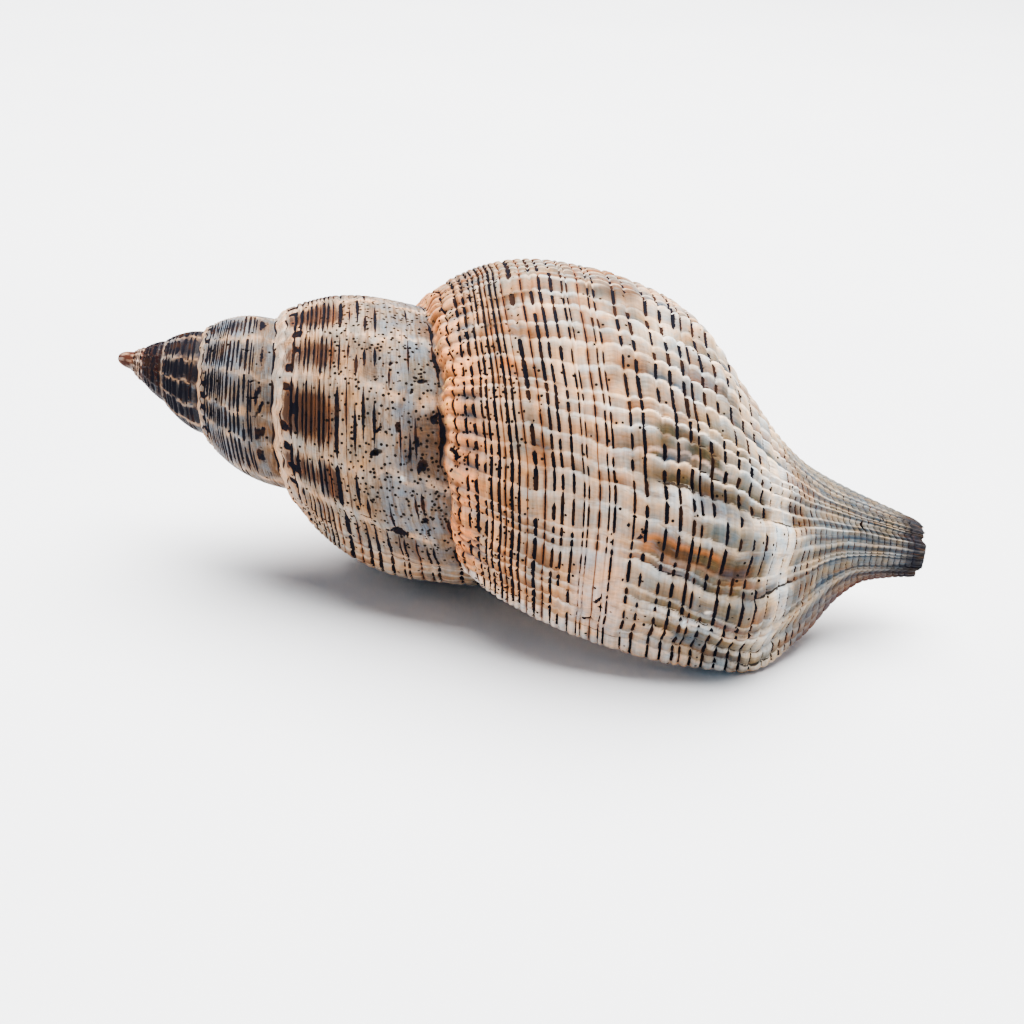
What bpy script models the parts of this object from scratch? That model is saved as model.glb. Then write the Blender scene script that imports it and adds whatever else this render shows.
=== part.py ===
"""A tulip shell, 125 mm long: one spiral wall that winds round its axis from a pointed apex to a
half-open canal, with a hollow that leads in from a wide mouth. It lies mouth down, as such a shell
comes to rest by itself, with its axis over +X and the lip's edge to the front.

The wall is a loft. A generating curve is carried round the axis, and it grows and changes its form
at every step, so no two sections are alike and their faces are laid by hand."""
import math

import bmesh
import bpy
import numpy as np
from mathutils import Matrix

# ---- driving dimensions: millimetres, degrees and turns -----------------------------------------
LIP_ANGLE = 122.0         # where the mouth's outer edge stands, turned from the top to the front
WALL = 2.2                # the wall behind the lip
LIP_EDGE = 1.2            # the wall at the lip's very edge
CANAL_WALL = 1.3          # the wall along the canal
TURNS = 5                 # turns of whorl modelled, counted back from the lip
CAVITY_TURNS = 0.62       # how far the hollow winds in behind the mouth
CANAL_GROOVE_TURNS = 0.3  # how far the canal's groove reaches round
FOLDS = 15                # growth folds in a turn
FOLD_HEIGHT = 0.4         # on the last whorl
SEAM_SCALLOP = 0.45       # how far each fold pushes the seam's edge up the spire
LEDGE = 0.05              # the step just below a seam, as a share of the seam's radius
LEDGE_RUN = 0.03          # how soon that step is reached, as a share of the seam's place
NOSE_DOWN = 8.25          # how the axis dips from the apex to the canal at rest
ROLL = 4.68               # how the shell is rolled about its axis at rest
WORN = 0.35               # how much is worn off the lip and the whorl where the shell rests

ROWS = 60                 # sections in a turn
SPIRE_COLUMNS = 6         # faces across a whorl of the spire
BODY_COLUMNS = 31         # faces from the last whorl's seam to the canal's end
CAVITY_ROWS = 18          # sections of the hollow

# The last whorl at eight stages of its growth, in turns before the lip. Each mark of its outline
# has a place along the axis and a radius at every stage.
STAGES = (0.0, 0.2, 0.31, 0.42, 0.7, 1.0, 1.5, 2.0)
MARKS = (
    # periphery, the widest place
    ((91, 79, 73, 68, 56.5, 49, 40, 30), (29, 29.6, 29.2, 28.3, 25.8, 21.7, 17, 13.3)),
    # where the base begins to draw in
    ((101, 90, 84, 78, 67, 58.5, 47, 36), (27.6, 27.8, 27, 26.1, 23.4, 20.6, 16.3, 12.6)),
    # half way down the base
    ((108.4, 98, 92.5, 87, 77, 68, 54, 41), (20.6, 19.8, 19.1, 18.4, 17.2, 16, 12.8, 10)),
    # neck
    ((113.2, 105, 100.3, 96, 86.5, 78, 63, 48), (12.6, 12, 11.7, 11.5, 10.8, 10.2, 7.6, 6)),
    # the canal's root
    ((116.7, 110.6, 107, 103.3, 97, 90, 77, 60), (9, 7.9, 7.6, 7.4, 6, 5.4, 4.3, 3.2)),
    # the canal's end
    ((125, 124.4, 123.6, 122.6, 121, 120, 119, 118), (6, 4.4, 3.2, 2.6, 2, 1.8, 1.5, 1.3)),
)
FULLNESS = (2.3, 2.8, 3.0, 3.0, 2.6, 2.2, 2.9, 2.5)  # how soon the whorl swells below its seam
OLD_FULLNESS = (1.4, 2.5)  # the same for the oldest whorls, and for those just before stage 2
OLD_FULLNESS_FROM = 2.9    # the stage half way between the two
OLD_FULLNESS_OVER = 0.3    # and how fast one turns into the other, in turns

# The seam's place along the axis and its radius: the logarithm of each is a + b t + c t^2
SEAM_PLACE = (4.045, -0.69, 0.018)
SEAM_RADIUS = (3.07, -0.46, -0.011)
SEAM_DROP = 2.0            # how much further the seam drops at the lip
SEAM_DROP_TURNS = 0.03     # and over how many turns
SPIRE_WIDEST = (0.92, 0.985)  # a spire whorl's widest place and radius, as shares of the next seam's
FADE_BELOW_SEAM = 0.15     # the folds' height builds up over this share of the seam's place
FADE_ABOVE_CANAL = 12.0    # and dies away over this length before the canal's root
FULL_FOLD_RADIUS = 15.0    # folds are lower where the seam's radius is under this
FULL_SCALLOP_RADIUS = 22.0  # and so are the seam's scallops under this
BEHIND_LIP = 0.02          # turns over which the wall thickens from the lip's edge
STEEPEST_WALL = 2.2        # the wall's radial thickness is at most this many times its real one
TIGHT_GAP = 0.4            # how softly the hollow closes where it runs out of room
CANAL_GROOVE = (0.55, 0.85)  # shares of the mouth's length between which the hollow turns shallow
COLUMNS_NEAR_SEAM = 1.3    # columns crowd towards the seam with this power
CANAL_CORE = 119.0         # where the solid core round the axis ends


def smooth_curve(x, y, at):
    """The smooth curve through the marks (x, y), which never swings past a mark, read at `at`."""
    x, y = np.asarray(x, float), np.asarray(y, float)
    step, rise = np.diff(x), np.diff(y) / np.diff(x)
    slope = np.concatenate([rise[:1], np.zeros(len(x) - 2), rise[-1:]])
    for i in range(1, len(x) - 1):
        if rise[i - 1] * rise[i] > 0:
            before, after = 2 * step[i] + step[i - 1], step[i] + 2 * step[i - 1]
            slope[i] = (before + after) / (before / rise[i - 1] + after / rise[i])
    at = np.clip(at, x[0], x[-1])
    i = np.clip(np.searchsorted(x, at, side="right") - 1, 0, len(x) - 2)
    t = (at - x[i]) / step[i]
    return (
        (2 * t**3 - 3 * t**2 + 1) * y[i]
        + (t**3 - 2 * t**2 + t) * step[i] * slope[i]
        + (3 * t**2 - 2 * t**3) * y[i + 1]
        + (t**3 - t**2) * step[i] * slope[i + 1]
    )


def seam(turns):
    """The seam where a whorl meets the one before: a spiral that widens nearly at a fixed rate. It
    drops a little faster just before the lip."""
    along, size = (math.exp(a + b * turns + c * turns**2) for a, b, c in (SEAM_PLACE, SEAM_RADIUS))
    return along + SEAM_DROP * math.exp(-turns / SEAM_DROP_TURNS), size


def marks(turns):
    """The outline's marks at one stage: places along the axis, and radii."""
    along = [float(smooth_curve(STAGES, places, turns)) for places, _ in MARKS]
    radii = [float(smooth_curve(STAGES, sizes, turns)) for _, sizes in MARKS]
    if turns > 1:
        # a whorl of the spire is widest just before the next seam covers it
        below, below_radius = seam(turns - 1)
        above = seam(turns)[0]
        along[0] = above + SPIRE_WIDEST[0] * (below - above)
        radii[0] = SPIRE_WIDEST[1] * below_radius
    for i in range(1, len(along)):
        along[i] = max(along[i], along[i - 1] + 1.0)
    return along, radii


def radius(along, turns):
    """The outer radius at places along the axis, for one stage: a steep ledge below the seam, then
    a quarter-round swell to the periphery, then the base, the neck and the canal."""
    above, seam_radius = seam(turns)
    places, radii = marks(turns)
    fullness = float(smooth_curve(STAGES, FULLNESS, turns))
    if turns > 2:
        oldest, older = OLD_FULLNESS
        blend = 1 / (1 + math.exp((turns - OLD_FULLNESS_FROM) / OLD_FULLNESS_OVER))
        fullness = oldest + (older - oldest) * blend
    share = np.clip((along - above) / (places[0] - above), 0, 1)
    swell = seam_radius + (radii[0] - seam_radius) * (1 - (1 - share) ** fullness)
    past_seam = np.maximum(along - above, 0)
    ledge = LEDGE * seam_radius * (1 - np.exp(-past_seam / (LEDGE_RUN * above))) * (1 - share) ** 1.5
    return np.where(along < places[0], swell + ledge, smooth_curve(places, radii, along))


def fold(turns):
    """How far this section stands on a growth fold: 1 on its crest, -1 in the trough after it. No
    two are quite alike."""
    unlike = 0.8 + 0.2 * math.sin(2 * math.pi * 2.3 * turns)
    return math.cos(2 * math.pi * FOLDS * turns) * unlike


def folded_radius(along, turns):
    """The outer radius with the growth folds, which fade out towards the seam and the canal."""
    above, seam_radius = seam(turns)
    canal_root = marks(turns)[0][4]
    below_seam = np.clip((along - above) / (FADE_BELOW_SEAM * above), 0, 1)
    above_canal = np.clip((canal_root - along) / FADE_ABOVE_CANAL, 0, 1)
    height = FOLD_HEIGHT * min(1.0, seam_radius / FULL_FOLD_RADIUS)
    return radius(along, turns) + height * fold(turns) * below_seam * above_canal


def point(along, size, turns):
    """The point at this place and radius, in the half plane where this stage stands."""
    angle = math.radians(LIP_ANGLE - 360.0 * turns)
    return (along, -size * math.sin(angle), size * math.cos(angle))


def outer_section(turns, end, shares):
    """One section of the outside, from the seam to `end`, at these shares of the way. The growth
    folds push the seam's edge up the spire, and that scallop dies out within two columns."""
    above, seam_radius = seam(turns)
    along = above + (end - above) * shares
    sizes = folded_radius(along, turns)
    push = SEAM_SCALLOP * min(1.0, seam_radius / FULL_SCALLOP_RADIUS) * fold(turns)
    along[:2] -= push * np.array([1.0, 0.5])
    return [point(u, r, turns) for u, r in zip(along, sizes)]


def wall_at(along, turns):
    """The wall's thickness: thin at the lip's edge and along the canal."""
    neck, canal_root = marks(turns)[0][3:5]
    behind_lip = min(1.0, turns / BEHIND_LIP)
    toward_canal = float(np.clip((along - neck) / (canal_root - neck), 0, 1))
    full = WALL + (CANAL_WALL - WALL) * toward_canal
    return LIP_EDGE + (full - LIP_EDGE) * behind_lip


def inner_radius(along, turns):
    """The hollow's outer side: the outside less the wall, and never inside the earlier whorl."""
    near = 0.3
    slope = float(radius(along + near, turns) - radius(along - near, turns)) / (2 * near)
    wall = wall_at(along, turns) * min(STEEPEST_WALL, math.hypot(1.0, slope))
    earlier = float(radius(along, turns + 1))
    room = float(radius(along, turns)) - wall - earlier
    return earlier + (room + math.hypot(room, TIGHT_GAP)) / 2


def depth(share):
    """How many turns the hollow reaches in: far behind the mouth, and less along the canal."""
    start, end = CANAL_GROOVE
    t = min(1.0, max(0.0, (share - start) / (end - start)))
    return CAVITY_TURNS + (CANAL_GROOVE_TURNS - CAVITY_TURNS) * t * t * (3 - 2 * t)


def add_grid(mesh, rows):
    """Faces between neighbouring rows of the same length."""
    for one, two in zip(rows, rows[1:]):
        for j in range(len(one) - 1):
            mesh.faces.new((one[j], two[j], two[j + 1], one[j + 1]))


def add_ladder(mesh, one, two):
    """Faces between two rows that may differ in length, and may share their first vertex."""
    i = j = 0
    while i < len(one) - 1 or j < len(two) - 1:
        ahead_one = (i + 1) / (len(one) - 1)
        ahead_two = (j + 1) / (len(two) - 1)
        if ahead_one <= ahead_two:
            corners = (one[i], one[i + 1], two[j])
            i += 1
        else:
            corners = (one[i], two[j + 1], two[j])
            j += 1
        if len(set(corners)) == 3:
            mesh.faces.new(corners)


def add_fan(mesh, centre, ring):
    """Triangles from a centre to each pair of neighbours on a closed ring."""
    hub = mesh.verts.new(centre)
    for one, two in zip(ring, ring[1:] + ring[:1]):
        mesh.faces.new((hub, one, two))


def shell_mesh():
    """The whole shell as one closed body, in millimetres, with its axis along +X."""
    mesh = bmesh.new()
    last_seam, first_canal_end = seam(0)[0], marks(1)[0][5]
    reach = (last_seam - seam(1)[0]) / (first_canal_end - seam(1)[0])
    spire_shares = (np.arange(SPIRE_COLUMNS + 1) / SPIRE_COLUMNS) ** COLUMNS_NEAR_SEAM
    base_shares = np.linspace(reach, 1, BODY_COLUMNS - SPIRE_COLUMNS + 1)[1:]
    body_shares = np.concatenate([reach * spire_shares, base_shares])

    def add(points):
        return [mesh.verts.new(p) for p in points]

    # the last whorl, from the lip back to the section that passes under the lip's seam
    body = []
    for row in range(ROWS + 1):
        turns = row / ROWS
        points = outer_section(turns, marks(turns)[0][5], body_shares)
        if row < ROWS:
            body.append(add(points))
        else:
            under_lip = [body[0][0]]
            body.append(add(points[:SPIRE_COLUMNS]) + under_lip + add(points[SPIRE_COLUMNS + 1 :]))
    add_grid(mesh, body)
    corner = SPIRE_COLUMNS + 1
    mouth_side = body[ROWS][corner:]

    # the spire: each whorl's lower edge is the seam of the whorl after it
    spire = {ROWS: body[ROWS][: SPIRE_COLUMNS + 1]}
    for row in range(ROWS + 1, ROWS * TURNS + 1):
        later = body[row - ROWS][0] if row <= 2 * ROWS else spire[row - ROWS][0]
        section = outer_section(row / ROWS, seam(row / ROWS - 1)[0], spire_shares)
        spire[row] = add(section[:-1]) + [later]
    add_grid(mesh, list(spire.values()))
    last = ROWS * TURNS
    apex_ring = [spire[row][0] for row in range(last - ROWS, last)] + spire[last][:-1]
    add_fan(mesh, (0, 0, 0), apex_ring)

    # the hollow: the earlier whorl and the columella on its inner side, the wall on its outer side
    corner_drop = mouth_side[0].co.x - last_seam
    inward = (body_shares[corner:] - body_shares[corner]) / (1 - body_shares[corner])
    across = np.linspace(0, 1, BODY_COLUMNS + 1)
    columella, wall = [mouth_side], []
    for row in range(CAVITY_ROWS + 1):
        for shares, side in ((inward, "columella"), (across, "wall")):
            points = []
            for share in shares:
                turns = depth(share) * row / CAVITY_ROWS
                start = seam(turns)[0] + corner_drop
                if side == "columella":
                    along = start + (marks(turns + 1)[0][5] - start) * share
                    points.append(point(along, float(radius(along, turns + 1)), turns))
                else:
                    along = start + (marks(turns)[0][5] - start) * share
                    points.append(point(along, inner_radius(along, turns), turns))
            if side == "columella" and row > 0:
                columella.append(add(points))
            elif side == "wall":
                wall.append([columella[row][0]] + add(points[1:]))
    add_grid(mesh, columella)
    add_grid(mesh, wall)
    add_ladder(mesh, wall[-1], columella[-1])
    add_ladder(mesh, body[0], wall[0])

    # the canal's broken end: the wall's edge, and the solid core around the axis
    groove_rows = round(CANAL_GROOVE_TURNS * ROWS)
    add_ladder(mesh, [section[-1] for section in body[: groove_rows + 1]], [row[-1] for row in wall])
    core = [section[-1] for section in body[groove_rows:]] + [row[-1] for row in columella[1:]]
    add_fan(mesh, (CANAL_CORE, 0, 0), core + [wall[-1][-1]])
    bmesh.ops.recalc_face_normals(mesh, faces=mesh.faces)
    return mesh


def laid_down(mesh):
    """Turns the shell to how it rests, wears small flats where it touches the surface, sets it on
    z = 0 and centres it on the origin, in metres."""
    turn = Matrix.Rotation(math.radians(NOSE_DOWN), 4, "Y") @ Matrix.Rotation(math.radians(ROLL), 4, "X")
    bmesh.ops.transform(mesh, matrix=Matrix.Scale(0.001, 4) @ turn, verts=mesh.verts)
    rest = min(v.co.z for v in mesh.verts) + 0.001 * WORN
    for v in mesh.verts:
        v.co.z = max(v.co.z, rest)
    places = np.array([v.co for v in mesh.verts])
    low, high = places.min(axis=0), places.max(axis=0)
    shift = Matrix.Translation((-(low[0] + high[0]) / 2, -(low[1] + high[1]) / 2, -low[2]))
    bmesh.ops.transform(mesh, matrix=shift, verts=mesh.verts)


def shell_material():
    material = bpy.data.materials.new("weathered_shell")
    material.use_nodes = True
    principled = material.node_tree.nodes["Principled BSDF"]
    principled.inputs["Base Color"].default_value = (0.60, 0.49, 0.40, 1)
    principled.inputs["Roughness"].default_value = 0.5
    principled.inputs["Metallic"].default_value = 0.0
    return material


def main():
    for old in list(bpy.data.objects):
        bpy.data.objects.remove(old, do_unlink=True)
    parts = bpy.data.collections.new("tulip_shell")
    bpy.context.scene.collection.children.link(parts)
    mesh = shell_mesh()
    laid_down(mesh)
    data = bpy.data.meshes.new("shell")
    mesh.to_mesh(data)
    mesh.free()
    data.shade_smooth()
    data.materials.append(shell_material())
    parts.objects.link(bpy.data.objects.new("shell", data))


main()
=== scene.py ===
"""A weathered tulip shell, 125 mm from apex to canal, lying mouth down on a pale floor.

The skin is one closed surface that follows the growth of the shell: a generating curve is carried
round the axis, and every place on it has a share (how far down the whorl it lies, from the seam to
the canal's end) and a stage (how many turns before the lip it grew). Millimetres are used until
the skin is laid on the frame."""

import math
from types import SimpleNamespace

import bpy
import numpy as np
from mathutils import Matrix, Vector


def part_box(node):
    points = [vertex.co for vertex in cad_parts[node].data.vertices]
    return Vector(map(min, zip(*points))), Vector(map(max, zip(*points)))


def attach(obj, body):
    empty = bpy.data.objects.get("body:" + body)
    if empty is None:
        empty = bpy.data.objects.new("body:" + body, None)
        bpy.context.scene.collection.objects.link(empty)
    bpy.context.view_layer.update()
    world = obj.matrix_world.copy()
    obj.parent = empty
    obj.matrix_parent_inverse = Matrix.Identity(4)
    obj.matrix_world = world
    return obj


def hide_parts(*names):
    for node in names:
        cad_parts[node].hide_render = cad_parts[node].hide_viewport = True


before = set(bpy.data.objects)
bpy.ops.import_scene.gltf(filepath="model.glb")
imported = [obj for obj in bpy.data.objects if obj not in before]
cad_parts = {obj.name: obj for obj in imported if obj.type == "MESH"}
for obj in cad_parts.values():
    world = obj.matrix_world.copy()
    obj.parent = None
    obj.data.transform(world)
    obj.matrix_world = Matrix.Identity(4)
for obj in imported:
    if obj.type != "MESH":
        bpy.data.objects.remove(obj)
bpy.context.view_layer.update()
solid_box = np.array(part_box("shell"))
rng = np.random.default_rng(11)

# ---- growth of the whorls, as in the solid: millimetres, degrees and turns before the lip --------
LIP_ANGLE = 122.0           # where the lip stands, turned from the top to the front
NOSE_DOWN = 8.25            # how the axis dips from the apex to the canal at rest
ROLL = 4.68                 # how the shell is rolled about its axis at rest
LEDGE = 0.05                # the step just below a seam, as a share of the seam's radius
LEDGE_RUN = 0.03            # how soon that step is reached, as a share of the seam's place
SEAM_PLACE = (4.045, -0.69, 0.018)     # logarithm of the seam's place along the axis
SEAM_RADIUS = (3.07, -0.46, -0.011)    # logarithm of its radius
SEAM_DROP = 2.0             # how much further the seam drops at the lip
SEAM_DROP_TURNS = 0.03      # and over how many turns
SPIRE_WIDEST = (0.92, 0.985)           # a spire whorl's widest place and radius
SPIRE_FROM = (0.94, 1.03)              # the stages over which a whorl turns into one of the spire
STAGES = (0.0, 0.2, 0.31, 0.42, 0.7, 1.0, 1.5, 2.0)
OUTLINE = (                 # places along the axis and radii of the last whorl at each stage
    ((91, 79, 73, 68, 56.5, 49, 40, 30), (29, 29.6, 29.2, 28.3, 25.8, 21.7, 17, 13.3)),
    ((101, 90, 84, 78, 67, 58.5, 47, 36), (27.6, 27.8, 27, 26.1, 23.4, 20.6, 16.3, 12.6)),
    ((108.4, 98, 92.5, 87, 77, 68, 54, 41), (20.6, 19.8, 19.1, 18.4, 17.2, 16, 12.8, 10)),
    ((113.2, 105, 100.3, 96, 86.5, 78, 63, 48), (12.6, 12, 11.7, 11.5, 10.8, 10.2, 7.6, 6)),
    ((116.7, 110.6, 107, 103.3, 97, 90, 77, 60), (9, 7.9, 7.6, 7.4, 6, 5.4, 4.3, 3.2)),
    ((125, 124.4, 123.6, 122.6, 121, 120, 119, 118), (6, 4.4, 3.2, 2.6, 2, 1.8, 1.5, 1.3)),
)
FULLNESS = (2.3, 2.8, 3.0, 3.0, 2.6, 2.2, 2.9, 2.5)
OLD_FULLNESS = (1.4, 2.5)   # the swell's fullness on the oldest whorls and on older ones
OLD_FULLNESS_FROM = 2.9     # the stage between them
OLD_FULLNESS_OVER = 0.3     # and how gradually one turns into the other, in turns
CROWDING = 0.066            # how much the grooves of the upper side crowd towards the seam
CROWDING_TURNS = (0.12, 0.33)          # from none to all of it over these stages
CROWDING_SHARES = (0.18, 0.6)          # full between these shares
LIP_SPREAD = 0.01           # how far the grooves near the seam lean up the spire before the lip
LIP_SPREAD_SHARE = 0.35     # and the share where that ends
SQUEEZED_SHARE = 0.1        # the seam's last drop squeezes only the columns above this share
CANAL_JAGS = (              # waves of the canal's broken edge: (mm, waves in a turn, phase)
    (0.45, 5.3, 1.1), (0.25, 13, 0), (0.10, 29, 2), (0.06, 41, 0),
)
CANAL_NOTCH = 0.10          # how far the edge is broken back on average, in mm

# ---- the skin's fineness -------------------------------------------------------------------------
FRONT_TURNS = 0.46          # the part of each turn that is laid finest
FRONT_ROWS = 400            # sections in that part
BACK_ROWS = 190             # and in the rest of a turn
CORD_STEP = 0.42            # millimetres between columns on a cord
SPIRE_TURNS = 6             # turns of whorl before the lip that are made
COLUMN_STEPS = (1, 1, 2, 3, 5, 6)      # how many columns to each one kept, turn by turn
CAP_ANGLES = (12, 27, 42, 57, 72)      # where the rounded tip's rings stand, in degrees

# ---- spiral grooves: (share, half width in mm, how unbroken 0..1, how rusty 0..1) ----------------
GROOVES = (
    (0.030, 0.22, 0.20, 0.6), (0.060, 0.36, 0.10, 0.1), (0.079, 0.38, 0.10, 0.0),
    (0.097, 0.26, 0.55, 0.0), (0.109, 0.26, 0.70, 0.0), (0.125, 0.30, 1.00, 0.0),
    (0.137, 0.14, 0.35, 0.9), (0.150, 0.32, 1.00, 0.0), (0.164, 0.26, 1.00, 0.0),
    (0.180, 0.12, 0.20, 0.9), (0.196, 0.38, 0.60, 0.0), (0.214, 0.15, 0.30, 0.9),
    (0.231, 0.30, 0.45, 0.1), (0.247, 0.28, 0.45, 0.0), (0.268, 0.28, 0.40, 0.1),
    (0.288, 0.18, 0.00, 0.4), (0.2965, 0.18, 0.00, 0.4), (0.317, 0.15, 0.05, 0.9),
    (0.335, 0.19, 0.00, 0.3), (0.346, 0.23, 0.05, 0.3), (0.3825, 0.28, 0.10, 0.5),
    (0.406, 0.32, 0.15, 0.4), (0.4425, 0.32, 0.10, 0.3), (0.469, 0.30, 0.25, 0.2),
    (0.495, 0.32, 0.20, 0.2), (0.510, 0.22, 0.30, 0.5), (0.533, 0.30, 0.10, 0.2),
    (0.559, 0.30, 0.20, 0.2), (0.585, 0.28, 0.20, 0.3), (0.611, 0.26, 0.15, 0.3),
    (0.636, 0.24, 0.15, 0.4), (0.659, 0.22, 0.10, 0.4), (0.684, 0.20, 0.05, 0.5),
)
CANAL_GROOVES = (0.702, 0.975, 22)     # first and last share of the canal's fine ones, and how many
CANAL_GROOVE = (0.15, 0.10, 0.5)        # their half width, how unbroken and how rusty
SHARE_LENGTH = 71.0         # millimetres along the axis for a whole share, near the lip
VERY_RUSTY = 0.8            # grooves rustier than this are a thin rusty line
TURN_LENGTH = 165.0         # millimetres round the whorl in a turn near the lip

# ---- growth halts: where growth paused and left a step across the whorl --------------------------
HALT_TURNS = 0.0148         # between halts on the last whorl, on average
SPIRE_HALT_TURNS = 0.078    # between the folds of the spire
HALT_SPREAD = 0.55          # how uneven they are
LIP_BAND = 0.025            # how far the pale band behind the lip reaches, in turns
SHINGLE_SHARE = 0.62        # how many of the halts are strong enough to shingle the base
SPIRE_BEADS = 33            # beads along the seam in a turn of the spire
PATCH_PLACES = 15           # places down an interval where its blotches are drawn
# waves of the growth lines, and further ones on the spire: (turns, waves in a share, in a turn)
WAVER = ((0.0022, 3.1, 6.0), (0.0012, 9.7, -11.0))
OLD_WAVER = ((0.003, 7.3, 5.0), (0.002, 17.0, -8.3))

# ---- relief, in millimetres where the shell is full grown ----------------------------------------
FOLDS = 15                  # broad folds in a turn
FOLD_HEIGHT = 0.30
SPIRE_FOLD = 0.55           # the height of the spire's folds
SEAM_INSET = 1.25           # how far the seam's edge has slid down the whorl on the front
SEAM_SCALLOP = 0.45         # how far a fold pushes the seam's edge up the spire
SEAM_BEAD = 0.22            # and how far a bead does
INSET_SINK = 0.3            # how far it sinks for each millimetre that it has slid
SHOULDER_SHARE = 0.022      # the rounded shoulder next to the seam ends at this share
PUSHED_SHARE = 0.06         # columns above this share are pushed with the edge
FULL_RADIUS = 22.0          # where the seam's radius is less, relief is lower in proportion
CREVICE = 0.15              # how deep the crevice is along a seam, on the whorl above it
TIP_KNOBS = 0.10            # the height of the knobs near the tip
CORD_SWELL = 0.24           # how far a cord swells between its grooves
GROOVE_DEPTH = 0.36
CORD_SCALLOP = 0.0020       # how far each cord pulls a growth line towards the lip, in turns
GROWTH_LEAN = 0.020         # how far the lines lean towards the lip on the base, in turns
SHINGLE_HEIGHT = 0.62       # the step of a shingle of the base
SHINGLE_PEAK = 0.9          # where it is highest, as a share of the way to the next one
HALT_PEAK = 0.86            # and the same for the step of a halt
DASH_SHARE = 0.86           # how many of the intervals have a dark dash in their groove
CREASE_WIDTH = 0.26         # half width of the dirt and painted shade in a halt's crease

# ---- where one part passes softly into the next --------------------------------------------------
SPIRE_STARTS = (0.99, 1.05)            # stages
CANAL_STARTS = (0.70, 0.77)            # shares
BASE_STARTS = (0.34, 0.46)
BASE_ENDS = (0.68, 0.78)
LIP_SIDE = 0.5              # stages below this are on the lip's side of the last whorl
PATCH_END = 0.012           # how softly a coloured patch ends, as a share
CANAL_BAND = 0.026          # turns from one dark band of the canal to the next

# ---- the mouth: millimetres and turns, as in the solid -------------------------------------------
WALL = 2.2                  # the wall behind the lip
LIP_EDGE = 1.2              # the wall at the lip's very edge
CANAL_WALL = 1.3            # the wall along the canal
BEHIND_LIP = 0.02           # turns over which the wall thickens from the lip's edge
STEEPEST_WALL = 2.2         # the wall's radial thickness is at most this many times its real one
TIGHT_GAP = 0.4             # how softly the hollow closes where it runs out of room
NEAR = 0.3                  # how far apart the outline is read to find its slope
CAVITY_TURNS = 0.62         # how far the hollow winds in behind the mouth
CANAL_GROOVE_TURNS = 0.3    # how far the canal's groove reaches round
CANAL_GROOVE_SHARES = (0.55, 0.85)     # where along the mouth the hollow turns shallow
CANAL_CORE = 119.0          # where the solid core round the axis ends
HOLLOW_CLEAR = 1.8          # how far below the seam's edge the hollow keeps
MOUTH_ROWS = 70             # sections of the hollow
RIM_ROWS = 4                # cells round the lip's rounded edge
LIP_SET_BACK = 0.0031       # how far the lip is set back to leave room for that edge, in turns
LIP_BULGE = 0.55            # how far the rounded edge stands out again
PLEAT = 0.9                 # how far the columella's pleats stand out
PLEATS = ((0.42, 0.035), (0.50, 0.03))  # where along the mouth they lie, and their half widths

# ---- colours of the shell, as reflectances -------------------------------------------------------
COLOURS = {
    "apricot": (0.78, 0.27, 0.075), "peach": (0.66, 0.213, 0.060), "salmon": (0.55, 0.245, 0.102),
    "rose": (0.38, 0.20, 0.100), "cream": (0.48, 0.30, 0.19), "sand": (0.34, 0.215, 0.13),
    "taupe": (0.19, 0.13, 0.080), "olive": (0.115, 0.098, 0.070), "fog": (0.29, 0.25, 0.195),
    "bone": (0.55, 0.425, 0.315), "ash": (0.18, 0.16, 0.125), "slate": (0.10, 0.105, 0.105),
    "chalk": (0.84, 0.70, 0.57), "pink": (0.56, 0.36, 0.26), "lip": (0.78, 0.55, 0.40),
    "umber": (0.060, 0.030, 0.014), "ochre": (0.36, 0.115, 0.028), "moss": (0.060, 0.045, 0.022),
    "buff": (0.20, 0.130, 0.09), "dun": (0.12, 0.08, 0.055), "mist": (0.165, 0.145, 0.135),
    "dusk": (0.035, 0.028, 0.033), "soot": (0.008, 0.007, 0.011), "steel": (0.045, 0.062, 0.075),
    "mahogany": (0.011, 0.002, 0.002), "chestnut": (0.065, 0.021, 0.014), "rust": (0.20, 0.085, 0.035),
}
GROUND_SHARES = (0, 0.045, 0.1, 0.2, 0.335, 0.41, 0.475, 0.53, 0.59, 0.665, 0.75, 0.83, 0.91, 1)
GROUND_STAGES = (0.055, 0.155, 0.21, 0.285, 0.345, 0.6, 1.0)
GROUND = (                  # a row of colours for each stage, from the seam to the canal's end
    "peach peach salmon rose cream sand sand taupe olive fog fog ash slate slate",
    "peach peach salmon rose cream sand cream olive olive bone ash ash slate slate",
    "apricot apricot salmon rose cream sand cream bone bone chalk sand ash steel slate",
    "peach salmon rose sand sand sand bone sand bone bone fog ash slate slate",
    "peach rose buff taupe dun dun cream cream fog bone fog ash slate slate",
    "salmon salmon rose buff sand sand cream sand cream bone fog fog ash slate",
    "salmon salmon sand sand cream sand cream sand cream bone fog fog ash slate",
)
SPIRE_PLACES = (0, 0.13, 0.3, 0.6, 0.85, 1)
SPIRE_STAGES = (1.0, 1.6, 1.9, 2.5, 2.9, 3.13, 3.25, 3.5, 3.9, 4.6, 5.2, 6.0)
SPIRE_GROUND = (            # the same down each whorl of the spire
    "cream cream sand sand mist dun",
    "cream cream sand buff mist dun",
    "cream mist mist mist dun dun",
    "sand mist mist mist dun dun",
    "dun dun soot soot soot soot",
    "dun dusk soot soot soot soot",
    "buff mist mist dusk dun dusk",
    "dun dusk soot soot soot soot",
    "mahogany dusk mahogany mahogany mahogany mahogany",
    "mahogany mahogany mahogany mahogany mahogany mahogany",
    "chestnut rose chestnut pink chestnut chestnut",
    "chestnut chestnut chestnut chestnut chestnut chestnut",
)
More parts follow.
